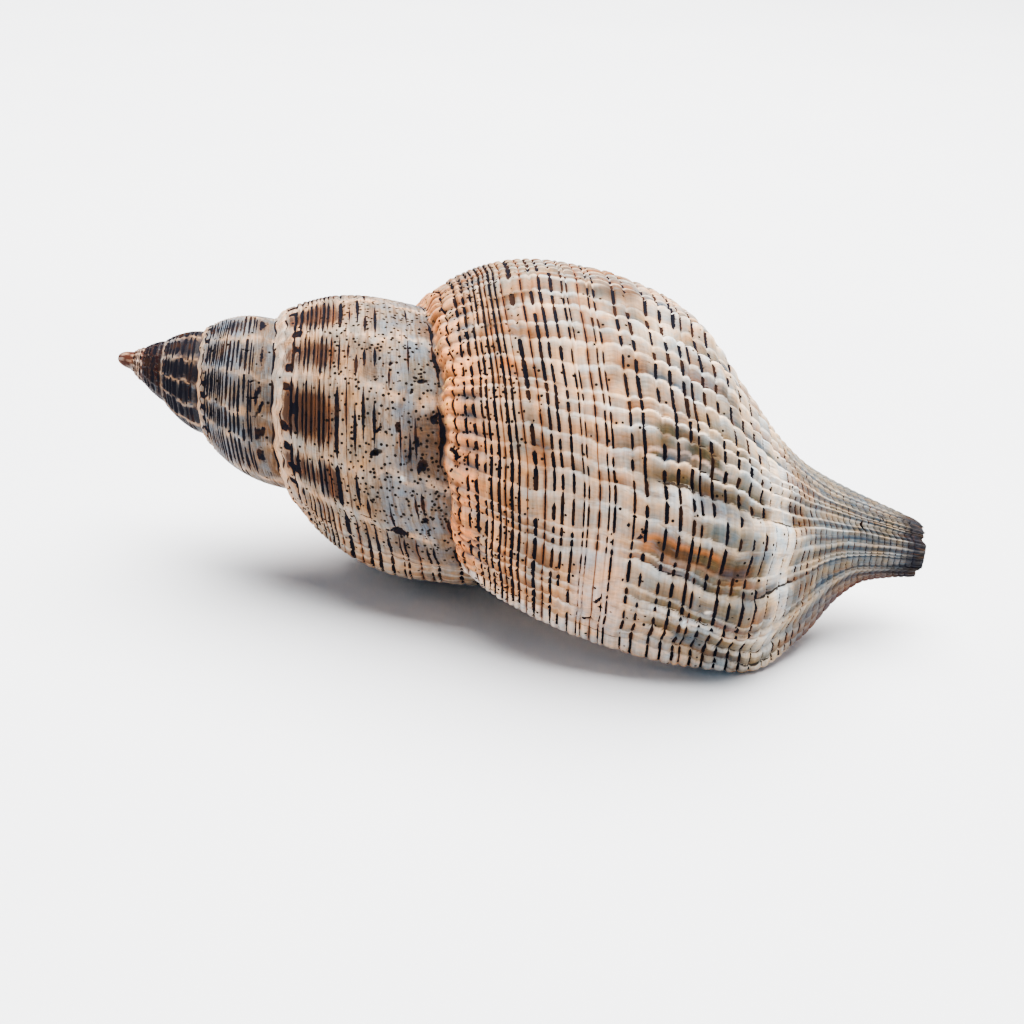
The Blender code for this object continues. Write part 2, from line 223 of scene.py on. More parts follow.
ACCENTS = (                 # (from share, to share, turns, half height in turns, colour, amount)
    (0.40, 0.55, 0.1130, 0.0075, "ochre", 0.9), (0.42, 0.62, 0.1110, 0.0065, "umber", 0.85),
    (0.43, 0.47, 0.1880, 0.0090, "moss", 0.8), (0.48, 0.55, 0.1880, 0.0110, "moss", 0.8),
    (0.40, 0.45, 0.1640, 0.0070, "moss", 0.7), (0.25, 0.57, 0.1810, 0.0014, "pink", 0.8),
    (0.65, 0.695, 0.1500, 0.0550, "chalk", 0.7), (0.70, 0.75, 0.0850, 0.0160, "umber", 0.4),
    (0.70, 0.74, 0.1750, 0.0220, "umber", 0.5), (0.56, 0.61, 0.2500, 0.0080, "umber", 0.6),
    (0.32, 0.43, 0.3200, 0.0090, "umber", 0.7), (0.11, 0.20, 0.3000, 0.0080, "umber", 0.5),
    (0.13, 0.18, 0.2700, 0.0080, "ochre", 0.6), (0.18, 0.22, 0.1650, 0.0070, "ochre", 0.7),
    (0.28, 0.375, 0.0600, 0.0550, "pink", 0.8), (0.67, 0.70, 0.0900, 0.0500, "chalk", 0.5),
    (0.33, 0.36, 0.2300, 0.0050, "ochre", 0.5), (0.44, 0.52, 0.3850, 0.0090, "umber", 0.6),
    (0.19, 0.24, 0.2680, 0.0070, "umber", 0.5), (0.60, 0.66, 0.0900, 0.0080, "slate", 0.5),
    (0.275, 0.32, 1.0330, 0.0200, "umber", 0.9), (0.50, 0.58, 0.5400, 0.0090, "umber", 0.6),
    (0.40, 0.52, 0.6300, 0.0080, "ochre", 0.6), (0.42, 0.55, 0.7600, 0.0090, "umber", 0.6),
    # the steel, slate and dusk bands across the base at stages 0.096 to 0.155 are painted shade in the
    # hollows under its shingles
    (0.50, 0.60, 0.1545, 0.0060, "steel", 0.6), (0.59, 0.65, 0.1246, 0.0060, "slate", 0.7),
    (0.56, 0.61, 0.1088, 0.0045, "dusk", 0.7), (0.63, 0.68, 0.0960, 0.0045, "slate", 0.7),
    (0.50, 0.55, 0.1131, 0.0035, "moss", 0.8), (0.48, 0.56, 0.0344, 0.0080, "slate", 0.8),
    (0.57, 0.64, 0.0266, 0.0060, "umber", 0.5), (0.71, 0.76, 0.0910, 0.0120, "umber", 0.5),
    (0.12, 0.16, 0.2726, 0.0060, "umber", 0.6), (0.15, 0.24, 0.3060, 0.0055, "umber", 0.7),
    (0.14, 0.18, 0.2347, 0.0050, "ochre", 0.7), (0.19, 0.23, 0.1718, 0.0060, "umber", 0.7),
    (0.35, 0.39, 0.2355, 0.0060, "umber", 0.5), (0.36, 0.44, 0.3263, 0.0080, "umber", 0.7),
    (0.055, 0.09, 0.2047, 0.0040, "dusk", 0.6), (0.045, 0.075, 0.2469, 0.0035, "dusk", 0.6),
    (0.15, 0.185, 0.1682, 0.0050, "taupe", 0.7), (0.43, 0.48, 0.1947, 0.0050, "moss", 0.6),
)

# ---- wear: (share, turns, length and width in mm, degrees from the growth lines, depth in mm) ----
GOUGES = (
    (0.3275, 0.0620, 2.0, 0.62, 55, 0.30), (0.3125, 0.0360, 1.6, 0.65, 20, 0.30),
    (0.3725, 0.0865, 2.0, 0.16, 80, 0.15), (0.3975, 0.0630, 0.8, 0.30, 60, 0.25),
    (0.3350, 0.0560, 0.9, 0.60, 10, 0.30), (0.4050, 0.1300, 1.1, 0.70, 30, 0.35),
    (0.3725, 0.1320, 1.0, 0.60, 70, 0.30), (0.3830, 0.1390, 0.6, 0.40, 0, 0.30),
    (0.3950, 0.1240, 1.2, 0.60, 40, 0.30), (0.0240, 0.1515, 3.4, 0.75, -25, 0.35),
    (0.0350, 0.1470, 1.8, 0.40, 30, 0.30), (0.1350, 0.0300, 1.0, 0.55, 50, 0.30),
    (0.6550, 0.1850, 1.0, 0.40, 60, 0.30), (0.6520, 0.1920, 0.7, 0.35, 20, 0.25),
    (0.2850, 0.3050, 0.7, 0.50, 0, 0.30), (0.2800, 0.2970, 0.5, 0.40, 60, 0.25),
    (0.8700, 0.1750, 1.6, 0.40, 85, 0.30), (0.9150, 0.2150, 1.4, 0.40, 75, 0.30),
    (0.2920, 1.0330, 3.0, 2.0, 10, 0.35), (0.2700, 1.1270, 2.6, 1.0, 30, 0.40),
    (0.3550, 1.1240, 2.8, 1.3, 60, 0.40), (0.3120, 1.1600, 2.2, 0.8, 85, 0.30),
    (0.3740, 1.1800, 2.4, 1.0, 50, 0.40), (0.3590, 1.2200, 1.8, 0.9, 20, 0.30),
    (0.2380, 1.0400, 2.6, 0.22, 4, 0.12), (0.3300, 1.1280, 2.2, 0.7, 75, 0.35),
    (0.3400, 1.2050, 1.4, 0.6, 60, 0.30), (0.2750, 1.1520, 1.5, 0.5, 40, 0.30),
    (0.3450, 1.0600, 1.3, 0.9, 20, 0.30), (0.3000, 1.2350, 1.1, 0.6, 50, 0.30),
    (0.2250, 1.1350, 0.9, 0.6, 30, 0.25), (0.3500, 1.1500, 1.7, 0.5, 85, 0.30),
    (0.3300, 2.1300, 3.0, 0.8, 65, 0.25), (0.3100, 2.1500, 2.0, 0.4, 20, 0.20),
    (0.3400, 2.0900, 1.8, 0.9, 75, 0.25), (0.2700, 2.2400, 0.9, 0.4, 15, 0.20),
    (0.3000, 2.1800, 0.9, 0.35, 30, 0.20), (0.2100, 2.0700, 0.7, 0.35, 60, 0.20),
)
CHIPS = (                   # the same, where the surface has flaked to white
    (0.5075, 0.0600, 1.9, 1.7, 30, 0.22), (0.5475, 0.0733, 1.3, 1.0, 10, 0.20),
    (0.6600, 0.1950, 2.0, 1.6, 40, 0.25), (0.3160, 1.1050, 1.3, 1.0, 0, 0.20),
)

# ---- finishes ------------------------------------------------------------------------------------
INK = (0.006, 0.006, 0.009)
INK_BROWN = (0.022, 0.011, 0.008)
RUST = (0.17, 0.055, 0.018)
# the near-black of dirt, which also serves as painted shade in creases and crevices
DIRT_AND_SHADE = (0.014, 0.010, 0.008)
BORE = (0.008, 0.006, 0.005)
STAIN = (0.17, 0.095, 0.05)
STREAK = (0.035, 0.014, 0.008)
SMEAR = (0.115, 0.056, 0.026)
WASH = (0.130, 0.140, 0.145)
MOUTH_CREAM = (0.80, 0.68, 0.58)
MOUTH_ROSE = (0.74, 0.54, 0.44)
BOARD = (0.80, 0.82, 0.85)
BOARD_SHADE = (0.77, 0.79, 0.83)
CLOUD_SCALE, GRAIN_SCALE, RAGGED_SCALE, BORE_SCALE = 320, 1900, 850, 1250
HUES = ((620, 4, 0.14, 0.45), (210, 3, 0.12, 0.52))     # (scale, detail, spread, how strong)
HUE_SPREAD = (0.27, 0.31)   # how far a warm place gains red and loses blue
SKIN_BUMP = (0.55, 0.00025)            # strength, and metres
MOUTH_BUMP = (0.2, 0.0001)
TIP_FIELDS = {"ink": -1.0, "rust": -1.0, "dirt": 0.0, "bored": 0.0, "polish": 0.4, "streak": 0.45,
              "gouged": 0.0, "aged": 0.0}
TIP_SWELL = 0.97            # how much the rounded tip swells

# ---- floor, lights and camera: metres, watts and degrees -----------------------------------------
FLOOR = 2.0                 # from the middle to each side
LIGHTS = (                  # (name, place, side, power, colour)
    ("ceiling", (0.03, 0.285, 0.89), 1.05, 92.0, (1.0, 0.97, 0.935)),
    ("window", (-0.90, 0.05, 0.42), 0.60, 2.2, (1.0, 0.97, 0.94)),
)
LIT_POINT = (0, 0, 0.02)    # what the lights look at
ROOM_GLOW = (0.25, 0.62, 1.0, 1)
ROOM_STRENGTH = 0.22
CAMERA_PLACE = (0.01602, -0.23557, 0.12504)
CAMERA_TURN = (64.28, -3.37, 5.62)
CAMERA_LENS = 60.0
CAMERA_SENSOR = 36.0        # both in mm


# ---- curves and growth ---------------------------------------------------------------------------
def smooth_curve(x, y, at):
    """The smooth curve through the marks (x, y) that never swings past a mark, read at `at`. Marks
    may be arrays, and then each place has its own curve."""
    shape = np.broadcast(at, x[0], y[0]).shape
    x = np.stack([np.broadcast_to(value, shape) for value in x]).astype(float)
    y = np.stack([np.broadcast_to(value, shape) for value in y]).astype(float)
    step, rise = np.diff(x, axis=0), np.diff(y, axis=0) / np.diff(x, axis=0)
    before, after = 2 * step[1:] + step[:-1], step[1:] + 2 * step[:-1]
    with np.errstate(divide="ignore", invalid="ignore"):
        inner = (before + after) / (before / rise[:-1] + after / rise[1:])
    inner = np.where(rise[:-1] * rise[1:] > 0, inner, 0)
    slope = np.concatenate([rise[:1], inner, rise[-1:]])
    at = np.clip(np.broadcast_to(at, shape), x[0], x[-1])
    result = np.zeros(shape)
    for i in range(len(x) - 1):
        t = unit((at - x[i]) / step[i])
        piece = (
            (2 * t**3 - 3 * t**2 + 1) * y[i]
            + (t**3 - 2 * t**2 + t) * step[i] * slope[i]
            + (3 * t**2 - 2 * t**3) * y[i + 1]
            + (t**3 - t**2) * step[i] * slope[i + 1]
        )
        result = np.where(at >= x[i], piece, result)
    return result


def unit(value):
    """The value, kept between 0 and 1."""
    return np.clip(value, 0, 1)


def ramp(value, start, end):
    """0 before start, 1 after end, and an S curve 3t^2 - 2t^3 between them."""
    t = unit((value - start) / (end - start))
    return t * t * (3 - 2 * t)


def fall(value, start, end):
    """1 before start, 0 after end, and the same S curve between them."""
    return 1 - ramp(value, start, end)


def hump(value, middle, half_width):
    """1 at the middle, falling to 0 at half_width on either side along a squared parabola."""
    return unit(1 - ((value - middle) / half_width) ** 2) ** 2


def saw(value, peak):
    """A tooth: it rises as value^1.4 from 0 up to the peak, and falls evenly from there to 1."""
    return np.where(value < peak, (value / peak) ** 1.4, (1 - value) / (1 - peak))


def interval(marks, value):
    """Which interval between two marks a value lies in, and how far through it, from 0 to 1."""
    marks = np.asarray(marks)
    number = np.clip(np.searchsorted(marks, value, side="right") - 1, 0, len(marks) - 2)
    return number, unit((value - marks[number]) / (marks[number + 1] - marks[number]))


def plain_seam(turns):
    """The seam's place and radius without its last drop: exp(a + b t + c t^2) for each."""
    return tuple(np.exp(a + b * turns + c * turns**2) for a, b, c in (SEAM_PLACE, SEAM_RADIUS))


def drop(turns):
    """How much further the seam has dropped just before the lip: it dies away as exp(-t)."""
    return SEAM_DROP * np.exp(-np.maximum(turns, 0) / SEAM_DROP_TURNS) * (turns >= 0)


def seam(turns):
    """The seam's place along the axis and its radius."""
    along, size = plain_seam(turns)
    return along + drop(turns), size


def outline_marks(turns):
    """The outline's marks at these stages: lists of places along the axis and of radii."""
    along = [smooth_curve(STAGES, places, turns) for places, _ in OUTLINE]
    radii = [smooth_curve(STAGES, sizes, turns) for _, sizes in OUTLINE]
    below, below_radius = seam(np.maximum(turns - 1, 0))
    above = seam(turns)[0]
    spire = ramp(turns, *SPIRE_FROM)
    along[0] = along[0] + (above + SPIRE_WIDEST[0] * (below - above) - along[0]) * spire
    radii[0] = radii[0] + (SPIRE_WIDEST[1] * below_radius - radii[0]) * spire
    for i in range(1, len(along)):
        along[i] = np.maximum(along[i], along[i - 1] + 1.0)
    return along, radii


def radius(along, turns):
    """The outer radius: a ledge below the seam, a swell r_s + (r_m - r_s)(1 - (1 - x)^fullness)
    to the widest place, and the smooth curve through the marks beyond it."""
    above, seam_radius = seam(turns)
    places, radii = outline_marks(turns)
    oldest, older = OLD_FULLNESS
    old = oldest + (older - oldest) / (1 + np.exp((turns - OLD_FULLNESS_FROM) / OLD_FULLNESS_OVER))
    fullness = np.where(turns > 2, old, smooth_curve(STAGES, FULLNESS, turns))
    share = unit((along - above) / (places[0] - above))
    swell = seam_radius + (radii[0] - seam_radius) * (1 - (1 - share) ** fullness)
    past_seam = np.maximum(along - above, 0)
    ledge = LEDGE * seam_radius * (1 - np.exp(-past_seam / (LEDGE_RUN * above))) * (1 - share) ** 1.5
    return np.where(along < places[0], swell + ledge, smooth_curve(places, radii, along))


def point(along, size, turns):
    """The points at these places and radii, in the half planes where these stages stand."""
    angle = np.radians(LIP_ANGLE - 360.0 * turns)
    along, side, up = np.broadcast_arrays(along, -size * np.sin(angle), size * np.cos(angle))
    return np.stack([along, side, up], axis=-1)


def canal_end(turns):
    """Where the canal ends: the outline's last mark less a broken, notched edge of four waves."""
    waves = (size * np.sin(2 * np.pi * many * turns + phase) for size, many, phase in CANAL_JAGS)
    jag = CANAL_NOTCH + sum(waves)
    return outline_marks(turns)[0][5] - np.maximum(jag, 0)


def place(share, turns):
    """How far along the axis a share lies at a stage. Shares divide the length from the seam to
    the canal's end, less the crowding, and the seam's last drop fades out over the first tenth."""
    above = plain_seam(turns)[0]
    end = canal_end(turns)
    full_from, full_to = CROWDING_SHARES
    weight = unit(share / full_from) * unit((1 - share) / (1 - full_to))
    lean = LIP_SPREAD * np.exp(-turns / SEAM_DROP_TURNS) * unit(1 - share / LIP_SPREAD_SHARE)
    lean = lean * unit(share / SQUEEZED_SHARE)
    true_share = share - CROWDING * ramp(turns, *CROWDING_TURNS) * weight - lean
    squeeze = unit(1 - share / SQUEEZED_SHARE)
    return above + true_share * (end - above) + drop(turns) * squeeze


def growth_halts():
    """The stages where growth paused: unevenly spaced, close together on the last whorl and a
    fold apart on the spire. The first is where the lip's pale band starts."""
    uneven = 1 + HALT_SPREAD * rng.uniform(-1, 1, 200)
    last = LIP_BAND + np.cumsum(HALT_TURNS * uneven)
    spire = 1 + SPIRE_HALT_TURNS * (0.5 + np.arange(90) + 0.25 * rng.uniform(-1, 1, 90))
    return np.concatenate([[-LIP_BAND, LIP_BAND], last[last < 0.995], spire])


HALTS = growth_halts()
HALT_STRENGTH = rng.uniform(0.3, 1.0, len(HALTS))
KEPT = np.append(True, rng.random(len(HALTS) - 2) < SHINGLE_SHARE)
SHINGLES = np.append(HALTS[:-1][KEPT], HALTS[-1])
SHINGLE_STRENGTH = rng.uniform(0.45, 1.0, len(SHINGLES))


def fold(turns):
    """How far a section stands on one of the broad folds: 1 on its crest, -1 in its trough."""
    unlike = 0.8 + 0.2 * np.sin(2 * np.pi * 2.3 * turns)
    return np.cos(2 * np.pi * FOLDS * turns) * unlike


def seam_inset(turns):
    """How far the seam's edge has slid down the whorl on the front of the last turn."""
    return SEAM_INSET * ramp(turns, 0.015, 0.07) * fall(turns, 0.20, 0.34)


def seam_push(turns):
    """How far the seam's edge is pushed up the spire by the folds and by each halt's bead."""
    scale = np.minimum(1, plain_seam(turns)[1] / FULL_RADIUS)
    _, through = interval(HALTS, turns)
    bead = np.where(turns > 1, np.sin(np.pi * SPIRE_BEADS * turns), np.sin(np.pi * through)) ** 2
    return scale * (SEAM_SCALLOP * fold(turns) + SEAM_BEAD * bead) - seam_inset(turns)


def corner_share():
    """The share at which the lip's seam lies on the section one turn back. It parts the columns
    of the spire from those that run into the mouth."""
    edge = seam(0.0)[0] - seam_push(0.0)
    above = plain_seam(1.0)[0]
    return float((edge - above) / (canal_end(np.float64(1.0)) - above)) + CROWDING


def columns():
    """The shares where columns stand. A groove takes one column on its line and one on either
    edge, and the cord between two grooves takes columns about CORD_STEP apart. Returns the
    grooves, the shares, each column's nearest groove, its cord, how far it is up that cord, from 0
    on a groove's line to 1 at the cord's middle, and the column where the lip's seam lies."""
    first, last, many = CANAL_GROOVES
    canal = [(share, *CANAL_GROOVE) for share in np.linspace(first, last, many)]
    grooves = np.array(GROOVES + tuple(canal))
    shares = [0.0]
    for line, half_width in grooves[:, :2]:
        half = half_width / SHARE_LENGTH
        count = max(2, round((line - half - shares[-1]) * SHARE_LENGTH / CORD_STEP))
        shares.extend(np.linspace(shares[-1], line - half, count + 1)[1:])
        shares.extend((line, line + half))
    shares.extend(np.linspace(shares[-1], 1.0, 4)[1:])
    shares = np.array(shares)
    at_corner = corner_share()
    corner = int(np.argmin(abs(shares - at_corner)))
    shares[corner] = at_corner
    nearest = np.argmin(abs(shares[:, None] - grooves[:, 0]), axis=1)
    lines = np.concatenate([[0.0], grooves[:, 0], [1.0]])
    cord, up = interval(lines, shares)
    return grooves, shares, nearest, cord, 4 * up * (1 - up), corner


GROOVE_LIST, SHARES, NEAREST, CORD, UP_CORD, CORNER = columns()
CELLS = rng.random((len(HALTS), len(GROOVE_LIST) + 1, 3))
CORD_TINTS = rng.random((len(GROOVE_LIST) + 1, 2))
DASHES = rng.random((len(HALTS), len(GROOVE_LIST), 3))
PATCHES = rng.random((4, len(HALTS), PATCH_PLACES + 1))
BEAD_DRAWS = rng.random((SPIRE_BEADS * (SPIRE_TURNS + 1), 3))


def patches(kind, number, share):
    """Blotches within an interval: random values at even shares, joined by S curves."""
    at = np.clip(share, 0, 0.999) * PATCH_PLACES
    left = at.astype(int)
    t = ramp(at - left, 0, 1)
    row = PATCHES[kind]
    return row[number, left] * (1 - t) + row[number, left + 1] * t


def growth_stage(share, turns, up, cord):
    """The stage that a place's growth line belongs to. The lines lean towards the lip on the base,
    each cord carries its own small scallop, and all of them waver a little."""
    lean = GROWTH_LEAN * ramp(share, 0.38, 0.70)
    scallop = CORD_SCALLOP * up * (0.3 + 0.9 * CORD_TINTS[cord, 0]) * (0.25 + 0.75 * ramp(share, 0.25, 0.45))
    scallop = scallop * (1 - 0.75 * ramp(share, 0.71, 0.80))
    waver, old_waver = (
        sum(size * np.sin(2 * np.pi * (down * share + round_it * turns)) for size, down, round_it in waves)
        for waves in (WAVER, OLD_WAVER)
    )
    waver = waver + old_waver * ramp(turns, 1.0, 1.1) * fall(turns, 4.0, 4.3)
    return turns + lean - scallop + waver * ramp(share, 0.05, 0.2)


def corner_radius():
    """The radius of the whorl below at the place where the lip's seam meets it."""
    return float(radius(place(SHARES[CORNER], np.float64(1.0)), np.float64(1.0)))


SEAM_SINK = seam(0.0)[1] - corner_radius()


# ---- sections: where the plain surface lies ------------------------------------------------------
def edge(turns):
    """The seam's edge as it shows: its place less the push, and its radius. At the lip it is sunk
    onto the whorl below, and the sinking dies away as the last drop does."""
    along, size = seam(turns)
    sunk = SEAM_SINK * np.exp(-turns / SEAM_DROP_TURNS) + INSET_SINK * seam_inset(turns)
    return along - seam_push(turns), size - sunk


def body_sections(turns):
    """Places and radii of the last whorl, a row for each stage and a column for each share."""
    turns = turns[:, None]
    pushed = unit(1 - SHARES / PUSHED_SHARE)
    along = place(SHARES, turns) - seam_push(turns) * pushed
    foot = edge(turns)[1]
    rise = np.sqrt(1 - unit(1 - SHARES / SHOULDER_SHARE) ** 2)
    return along, foot + (radius(along, turns) - foot) * rise


def spire_sections(turns, chosen):
    """The same for a whorl of the spire with the chosen columns. They keep the spacing that they
    have at stage 1, stretched from this stage's edge to the edge one turn later."""
    turns = turns[:, None]
    first = place(SHARES[chosen], 1.0)
    spacing = (first - first[0]) / (first[-1] - first[0])
    above, below, below_radius = seam(turns)[0], seam(turns - 1)[0], edge(turns - 1)[1]
    reached = 0.08 + 0.92 * np.exp(-(turns - 1) / 0.04)
    along = above + (below - above) * spacing - seam_push(turns) * unit(1 - spacing / 0.15)
    along = along - seam_push(turns - 1) * unit(1 - (1 - spacing) / reached)
    under_edge = ramp(spacing, 0.985, 1.0)
    crevice = CREVICE * ramp(spacing, 0.94, 0.985) * (1 - under_edge) * relief_scale(turns)
    size = radius(along, turns) - crevice
    return along, size + (below_radius - size) * under_edge


def relief_scale(turns):
    """Relief is lower in proportion where the shell was smaller."""
    return np.minimum(1, plain_seam(turns)[1] / FULL_RADIUS)


def lifted(along, size, height):
    """Moves each place out by its height, square to its section's outline."""
    slope = np.gradient(size, axis=1) / np.gradient(along, axis=1)
    length = np.hypot(1, slope)
    return along - height * slope / length, size + height / length


# ---- the outside: what its relief and colours go by ----------------------------------------------
def columns_of(table):
    """The table's last axis, taken apart."""
    return np.moveaxis(table, -1, 0)


def whorl_places(along, size, turns, chosen):
    """What each place of the plain sections goes by, with a row for each stage and a column for
    each chosen share: its groove and cord, the halt and the shingle it lies after and how far
    through to the next, the beads, the random draws, and how far it is part of the spire, the
    canal, the base or an old whorl, from 0 to 1."""
    at = SimpleNamespace(along=along, size=size, turns=turns[:, None], share=SHARES[chosen])
    at.up, at.cord, at.groove = UP_CORD[chosen], CORD[chosen], NEAREST[chosen]
    at.stage = growth_stage(at.share, at.turns, at.up, at.cord)
    at.number, at.through = interval(HALTS, at.stage)
    shingle, at.down = interval(SHINGLES, at.stage)
    at.scale = relief_scale(at.turns)
    at.lip = at.turns < LIP_SIDE
    at.spire = ramp(at.turns, *SPIRE_STARTS)
    at.body = 1 - at.spire
    at.canal = ramp(at.share, *CANAL_STARTS)
    at.base = ramp(at.share, *BASE_STARTS) * fall(at.share, *BASE_ENDS)
    at.old = ramp(at.turns, 1.85, 2.1)
    at.older = ramp(at.turns, 1.85, 2.3)
    at.pale_whorl = ramp(at.turns, 1.85, 2.05) * fall(at.turns, 2.85, 3.05)
    at.place_on = at.share / SHARES[CORNER]
    stretch = np.gradient(along, axis=1) / np.gradient(at.share)
    at.stretch = stretch * np.hypot(1, np.gradient(size, axis=1) / np.gradient(along, axis=1))
    at.strength = HALT_STRENGTH[at.number]
    at.shingled = SHINGLE_STRENGTH[shingle] * at.base
    spread = np.where(at.turns > 1, unit(at.place_on), at.share)
    at.blotch = patches(0, at.number, at.share)
    at.cool, at.pale, at.mottle = (patches(kind, at.number, spread) for kind in (1, 2, 3))
    at.chance, at.strong, at.shift = columns_of(DASHES[at.number, at.groove])
    at.bright, at.brown, at.smudged = columns_of(CELLS[at.number, at.cord])
    at.between = np.sin(np.pi * at.through)
    at.block = at.between**0.7 * (0.60 + 0.45 * at.blotch) * at.spire * (1 - 0.3 * at.pale_whorl)
    at.streaked = ramp(at.place_on, 0.06, 0.12)
    at.streaked = at.streaked * (1 - (1 - 0.7 * at.old) * ramp(at.place_on, 0.46, 0.60))
    at.bead_round = np.sin(np.pi * np.where(at.turns > 1, (SPIRE_BEADS * at.turns) % 1, at.through)) ** 2
    bead = np.clip((SPIRE_BEADS * at.turns + 0.5).astype(int), 0, len(BEAD_DRAWS) - 1)
    at.bead_gap, at.bead_shift, at.bead_size = columns_of(BEAD_DRAWS[bead])
    at.lip_band = fall(at.stage, LIP_BAND - 0.002, LIP_BAND) * at.lip
    knobs = np.sin(2 * np.pi * (9 * at.turns + 1.5 * at.place_on))
    knobs = knobs * np.cos(2 * np.pi * (4 * at.turns - 1.3 * at.place_on))
    at.knobs = knobs * ramp(at.turns, 4.7, 4.9)
    at.gouge, at.gouged = wear(GOUGES, at)
    at.chip, at.chipped = wear(CHIPS, at)
    return at


def wear(marks, at):
    """How deep each place lies in the marks: for each, depth * exp(-2 (a^2 + b^2)^2), with a and b
    the distances along and across it over half its length and width. Returns the greatest depth
    and how close to a mark's middle the place is, as exp(-a^2 - b^2)."""
    depth = np.zeros(at.along.shape)
    closeness = depth.copy()
    for share, turns, length, width, angle, deep in marks:
        across = (at.share - share) * at.stretch
        round_it = (at.turns - turns) * 2 * np.pi * at.size
        c, s = math.cos(math.radians(angle)), math.sin(math.radians(angle))
        a, b = (across * c + round_it * s) / (length / 2), (round_it * c - across * s) / (width / 2)
        depth = np.maximum(depth, deep * np.exp(-2 * (a * a + b * b) ** 2))
        closeness = np.maximum(closeness, np.exp(-a * a - b * b))
    return depth, closeness


def dash_window(at, unbroken):
    """How far a groove of the last whorl is dark along each interval: a dash from the halt to a
    drawn end, or the whole interval where the groove is unbroken, and notches on the lip's band."""
    dash_end = 0.42 + 0.45 * at.shift
    dash = ramp(at.through, 0.0, 0.12) * fall(at.through, dash_end, dash_end + 0.22)
    dash = dash * (at.chance < DASH_SHARE)
    joined = (at.strong < unbroken) * (1 - 0.5 * hump(at.through, 0.95, 0.16))
    window = np.maximum(dash * (0.70 + 0.35 * at.strong), joined * (0.85 + 0.2 * at.shift))
    window = window * (1 - 0.7 * hump(at.share, 0.31, 0.045) * (at.turns < 0.09))
    window = window * (1 - 0.5 * hump(at.share, 0.672, 0.035)) * (1 - 0.60 * ramp(at.share, 0.74, 0.80))
    in_lip = at.lip * fall(at.share, 0.60, 0.68)
    notch_start = 0.014 * at.shift
    notch = 0.8 * in_lip * ramp(at.stage, notch_start, notch_start + 0.004)
    return np.where(at.stage < LIP_BAND, np.maximum(notch, 0.5 * (at.chance < 0.3)), window)


def groove_marks(at):
    """How far each place lies in its groove (`across`: 1 on the line, 0 at the edge), how far the
    groove is dark there, and the ink and the rust along it. On the spire the grooves are dark in
    ragged blocks between the folds and in short dashes."""
    line, half_width, unbroken, rusty = GROOVE_LIST[at.groove].T
    widened = 1 + 0.7 * at.old * fall(at.share, 0.31, 0.35)
    across = np.clip(1 - abs(at.share - line) * SHARE_LENGTH / (half_width * widened), -0.6, 1)
    half_dash = 0.22 + 0.16 * at.old + (0.3 + 0.2 * at.old) * at.strong
    short = hump(at.through, 0.25 + 0.5 * at.shift, half_dash) * (at.chance < 0.70 + 0.25 * at.old)
    ragged = unit(2.6 * at.block * (0.5 + 0.8 * at.strong) - 0.4)
    on_spire = np.maximum(1.15 * ragged * at.streaked, 1.05 * short)
    window = dash_window(at, unbroken)
    window = window + (on_spire - window) * at.spire
    rust = np.clip(across + 0.45, -1, 1) + window - 1
    rust = np.maximum(rust, (across + 0.6 * window) * (rusty > VERY_RUSTY) * at.body)
    return across, window, across + window - 1, rust * (0.35 + 0.65 * rusty) - 0.3 * at.old


def relief(at, across, window):
    """How far the relief lifts each place: cords that swell between grooves, the steps of halts and
    shingles (a saw's tooth along each interval), broad folds, the folds of the spire, beads, a fine
    ripple, wear, and knobs near the tip."""
    step = (0.10 + 0.10 * at.base + 0.12 * at.canal) * at.strength * saw(at.through, HALT_PEAK)
    step = step * (0.4 + 0.6 * np.maximum(at.up, 0.9 * at.canal))
    shingle = SHINGLE_HEIGHT * at.shingled * saw(at.down, SHINGLE_PEAK) * (0.75 + 0.25 * at.up)
    step = (step + shingle) * at.body
    past_beads = ramp(at.share, 0.03, 0.12)
    spire_fold = SPIRE_FOLD * (0.6 - at.between**1.2) * at.spire * past_beads
    spire_fold = spire_fold * (1 - 0.55 * ramp(at.place_on, 0.35, 0.70))
    worn = np.where(at.turns > 1, 1 - 0.55 * ramp(at.place_on, 0.40, 0.60), 1.0) * (1 - 0.4 * at.canal)
    groove = unit(across) * GROOVE_DEPTH * worn * (0.45 + 0.55 * window)
    seam_beads = (0.42 + 0.35 * at.spire * at.bead_size) * at.bead_round
    seam_beads = seam_beads * hump(at.share, 0.022 + 0.006 * at.spire, 0.022)
    beads = 0.26 * hump(at.share, 0.075, 0.035) * (at.bead_round - 0.4) * (at.up + 0.3)
    broad = FOLD_HEIGHT * fold(at.turns) * ramp(at.share, 0.02, 0.12) * (1 - at.canal) * at.body
    ripple = 0.04 * np.sin(2 * np.pi * (at.stage * 300 + 3 * at.share)) * (0.3 + 0.7 * at.base)
    height = step + spire_fold - groove + CORD_SWELL * at.up * worn + seam_beads + beads + broad + ripple
    height = height * at.scale - at.gouge - at.chip
    height = height + TIP_KNOBS * at.knobs * fall(at.turns, 5.6, 5.9)
    return height * (1 - unit(1 - at.turns / 0.006) * 0.5)


def coated(ground, *coats):
    """Lays coats of colour over the ground in order, each a name or a colour with its amount."""
    for tint, amount in coats:
        ground = mixed_colours(ground, COLOURS[tint] if isinstance(tint, str) else tint, amount)
    return ground


def accent_coats(at):
    """The coats of the brown, mossy, grey and pale patches, some grey ones being painted shade on the
    base, each with soft ends along the share and a hump across the stages."""
    stage = at.stage - 0.6 * GROWTH_LEAN * at.base
    for start, end, middle, half_turns, name, amount in ACCENTS:
        where = ramp(at.share, start - PATCH_END, start + PATCH_END)
        where = where * fall(at.share, end - PATCH_END, end + PATCH_END)
        where = where * np.sqrt(hump(stage, middle, 1.25 * half_turns))
        yield name, unit(1.2 * amount * where * (0.7 + 0.6 * at.pale))


